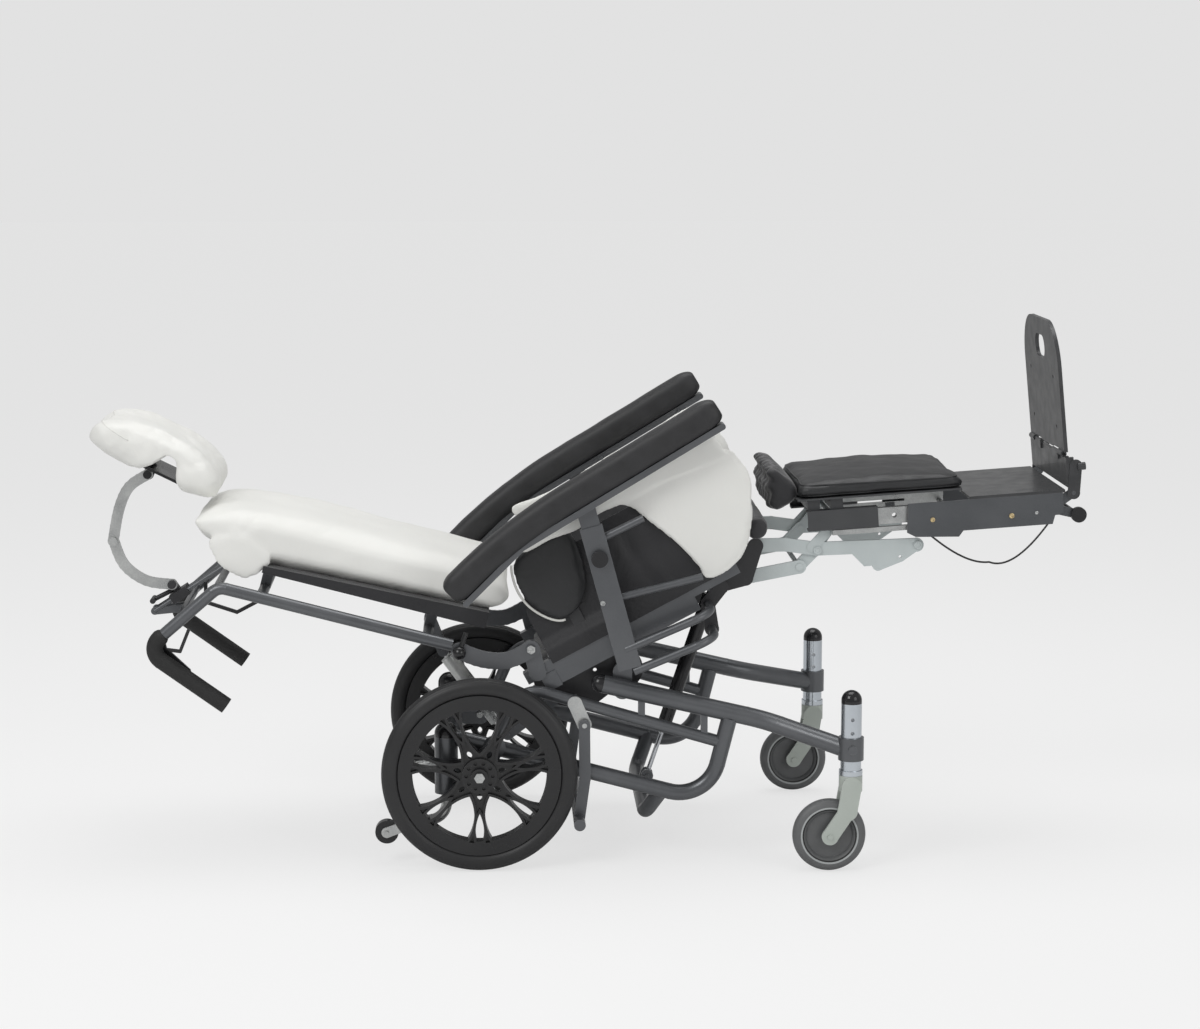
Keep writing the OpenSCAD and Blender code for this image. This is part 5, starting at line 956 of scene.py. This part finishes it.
for side, name in ((-1, "right"), (1, "left")):
    bm = bmesh.new()
    rows = []
    columns = [24 + 502 * i / 96 for i in range(97)]
    for x in columns:
        low, high = cloth_low(x), cloth_high(x)
        row = []
        for k in range(33):
            z = low + (high - low) * k / 32
            wide = 1.6 if x > 206 else 0.7
            fold = math.sin(x * 0.085 + noise.noise(Vector((x, z * 0.4, 0)) / 60) * 3) * wide
            fold *= min(1, (high - z) / 60 + 0.15)
            y = side * (cloth_out(x, z) + fold + noise.noise(Vector((x, z, side * 9)) / 35) * wide / 2)
            row.append(bm.verts.new(SEAT_AT @ Vector((x / 1000, y / 1000, z / 1000))))
        rows.append(row)
    area = 0
    for a, b in zip(rows, rows[1:]):
        for k in range(32):
            area += bm.faces.new((a[k], a[k + 1], b[k + 1], b[k])).calc_area()
    mesh = bpy.data.meshes.new("side_cloth_" + name)
    bm.to_mesh(mesh)
    bm.free()
    cloth = bpy.data.objects.new("side_cloth_" + name, mesh)
    bpy.context.collection.objects.link(cloth)
    nothing_selected()
    cloth.select_set(True)
    bpy.context.view_layer.objects.active = cloth
    wall = cloth.modifiers.new("wall", "SOLIDIFY")
    wall.thickness = 0.0012
    wall.offset = 0
    bpy.ops.object.modifier_apply(modifier=wall.name)
    bpy.ops.object.shade_smooth_by_angle(angle=math.radians(50))
    cloth.data.materials.append(nylon)
    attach(cloth, "seat")
    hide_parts("side_fabrics")

bag_low = [[0, -56], [0.3, -95], [0.7, -101], [1, -58]]
bag = skin_over("seat_bag", cushion_rings(-14, 148, 364, bag_low, [[0, -42], [1, -42]], 0, 0.1, 0), SEAT_AT)
swell(bag, 0.003, cell=0.006, pressure=2.0)
crumple(bag, 0.003, 0.05, (1, 0.5, 1))
bag.data.materials.append(nylon)
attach(bag, "seat")
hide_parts("side_fabrics")

roll_rings = []
for t in stations(40):
    f = fullness(t, 0.05, 0.75)
    roll_rings.append([(524 + a * f, (t - 0.5) * 459, -2 + b * f) for a, b in rounded_box(40, 48, 48, 2)])
front_roll = skin_over("seat_front_roll", [
    [(min(x, 549) if z < -38 else max(x, 503.5), y, z) for x, y, z in r] for r in roll_rings], SEAT_AT)
swell(front_roll, 0.0015, cell=0.005, pressure=1.5)
crumple(front_roll, 0.0012, 0.03)
front_roll.data.materials.append(nylon)
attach(front_roll, "seat")
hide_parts("side_fabrics")


# Gaiter: black nylon gathered into folds, closing the gap between the seat's front and the calf pad.
# It hangs from the pad's rear edge and bunches up, so its sides show a few deep, uneven pleats.
gaiter_line = smooth_loop([(93, 92), (93, 115), (74, 136), (53, 156), (36, 150), (43, 132), (32, 118), (38, 100),
                           (34, 82), (47, 67), (70, 75)], 6)
gaiter_rings = []
middle = sum(gaiter_line, Vector((0, 0))) / len(gaiter_line)
for i, t in enumerate(stations(70)):
    y = (t - 0.5) * 296
    f = fullness(t, 0.05, 0.7)
    ring = []
    for p in gaiter_line:
        free = min(1, max(0, (86 - p.x) / 30))
        q = middle + (p - middle) * f
        fold = math.sin(y * 0.16 + p.y * 0.05) * 3.2 + noise.noise(Vector((y, p.x * 2, p.y)) / 22) * 4
        ring.append((q.x + fold * free, y, q.y + noise.noise(Vector((p.x, y, p.y + 50)) / 18) * 3 * free))
    gaiter_rings.append(ring)
gaiter = skin_over("knee_gaiter", gaiter_rings, LEG_AT)
swell(gaiter, 0.002, cell=0.004, pressure=1.0)
gaiter.data.materials.append(nylon)
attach(gaiter, "legrest")
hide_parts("gaiter")


# Fasteners: zinc and brass screws and rivet heads, put on the faces that they hold.
# Each is a turned head with a rounded rim and a sunk middle.
def face_of(carriers, x, z, side):
    found = []
    for n in carriers:
        hit, place, _, _ = nodes[n].ray_cast(Vector((x, side * 2, z)), Vector((0, -side, 0)))
        if hit and place.y * side > 0.02:
            found.append(place.y * side)
    return side * max(found) if found else None


def fasteners(name, body, finish, places, sides=24):
    heads = []
    for carriers, x, z, r, h in places:
        for side in (-1, 1):
            y = face_of(carriers, x, z, side)
            if y is None:
                continue
            nothing_selected()
            bpy.ops.mesh.primitive_cylinder_add(vertices=sides, radius=r, depth=h)
            head = bpy.context.object
            bpy.ops.object.mode_set(mode="EDIT")
            bm = bmesh.from_edit_mesh(head.data)
            for f in bm.faces:
                f.select = f.normal.z > 0.9
            bmesh.update_edit_mesh(head.data)
            bpy.ops.mesh.inset(thickness=r * 0.42)
            bpy.ops.mesh.extrude_region_move(TRANSFORM_OT_translate={"value": (0, 0, -h * 0.45)})
            bpy.ops.object.mode_set(mode="OBJECT")
            edge = head.modifiers.new("edge", "BEVEL")
            edge.width = min(r * 0.14, h * 0.3)
            edge.segments = 2
            bpy.ops.object.modifier_apply(modifier=edge.name)
            head.rotation_euler = (math.pi / 2 * -side, 0, 0)
            head.location = (x, y + side * h * 0.48, z)
            bpy.ops.object.transform_apply(location=True, rotation=True, scale=True)
            bpy.ops.object.shade_smooth_by_angle(angle=math.radians(35))
            heads.append(head)
    o = joined(name, heads)
    o.data.materials.clear()
    o.data.materials.append(finish)
    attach(o, body)
    return o


brass = hard_finish("brass_plate", (0.55, 0.42, 0.22), (0.72, 0.58, 0.34), 0.95, 0.25, 0.08)
fasteners("hinge_bolts", "seat", zinc,
          [(("seat_plates", "seat_frame", "back_frame"), -0.1184, 0.446, 0.0095, 0.004)], sides=6)
fasteners("sleeve_bolts", "seat", zinc, [(("arm_sleeves",), 0.0262, 0.5505, 0.0055, 0.003)])
fasteners("foot_box_screws", "foot_box", brass,
          [(("foot_sides",), 0.7127, 0.7004, 0.005, 0.002), (("foot_sides",), 0.8768, 0.7077, 0.0055, 0.002)])
fasteners("foot_box_pin", "foot_box", zinc, [(("foot_sides",), 0.9287, 0.7137, 0.0035, 0.0015)])
fasteners("leg_rivets", "legrest", link_paint,
          [(("leg_frame",), 0.478, 0.633, 0.0085, 0.0025), (("leg_frame",), 0.6876, 0.6432, 0.0085, 0.0025)])
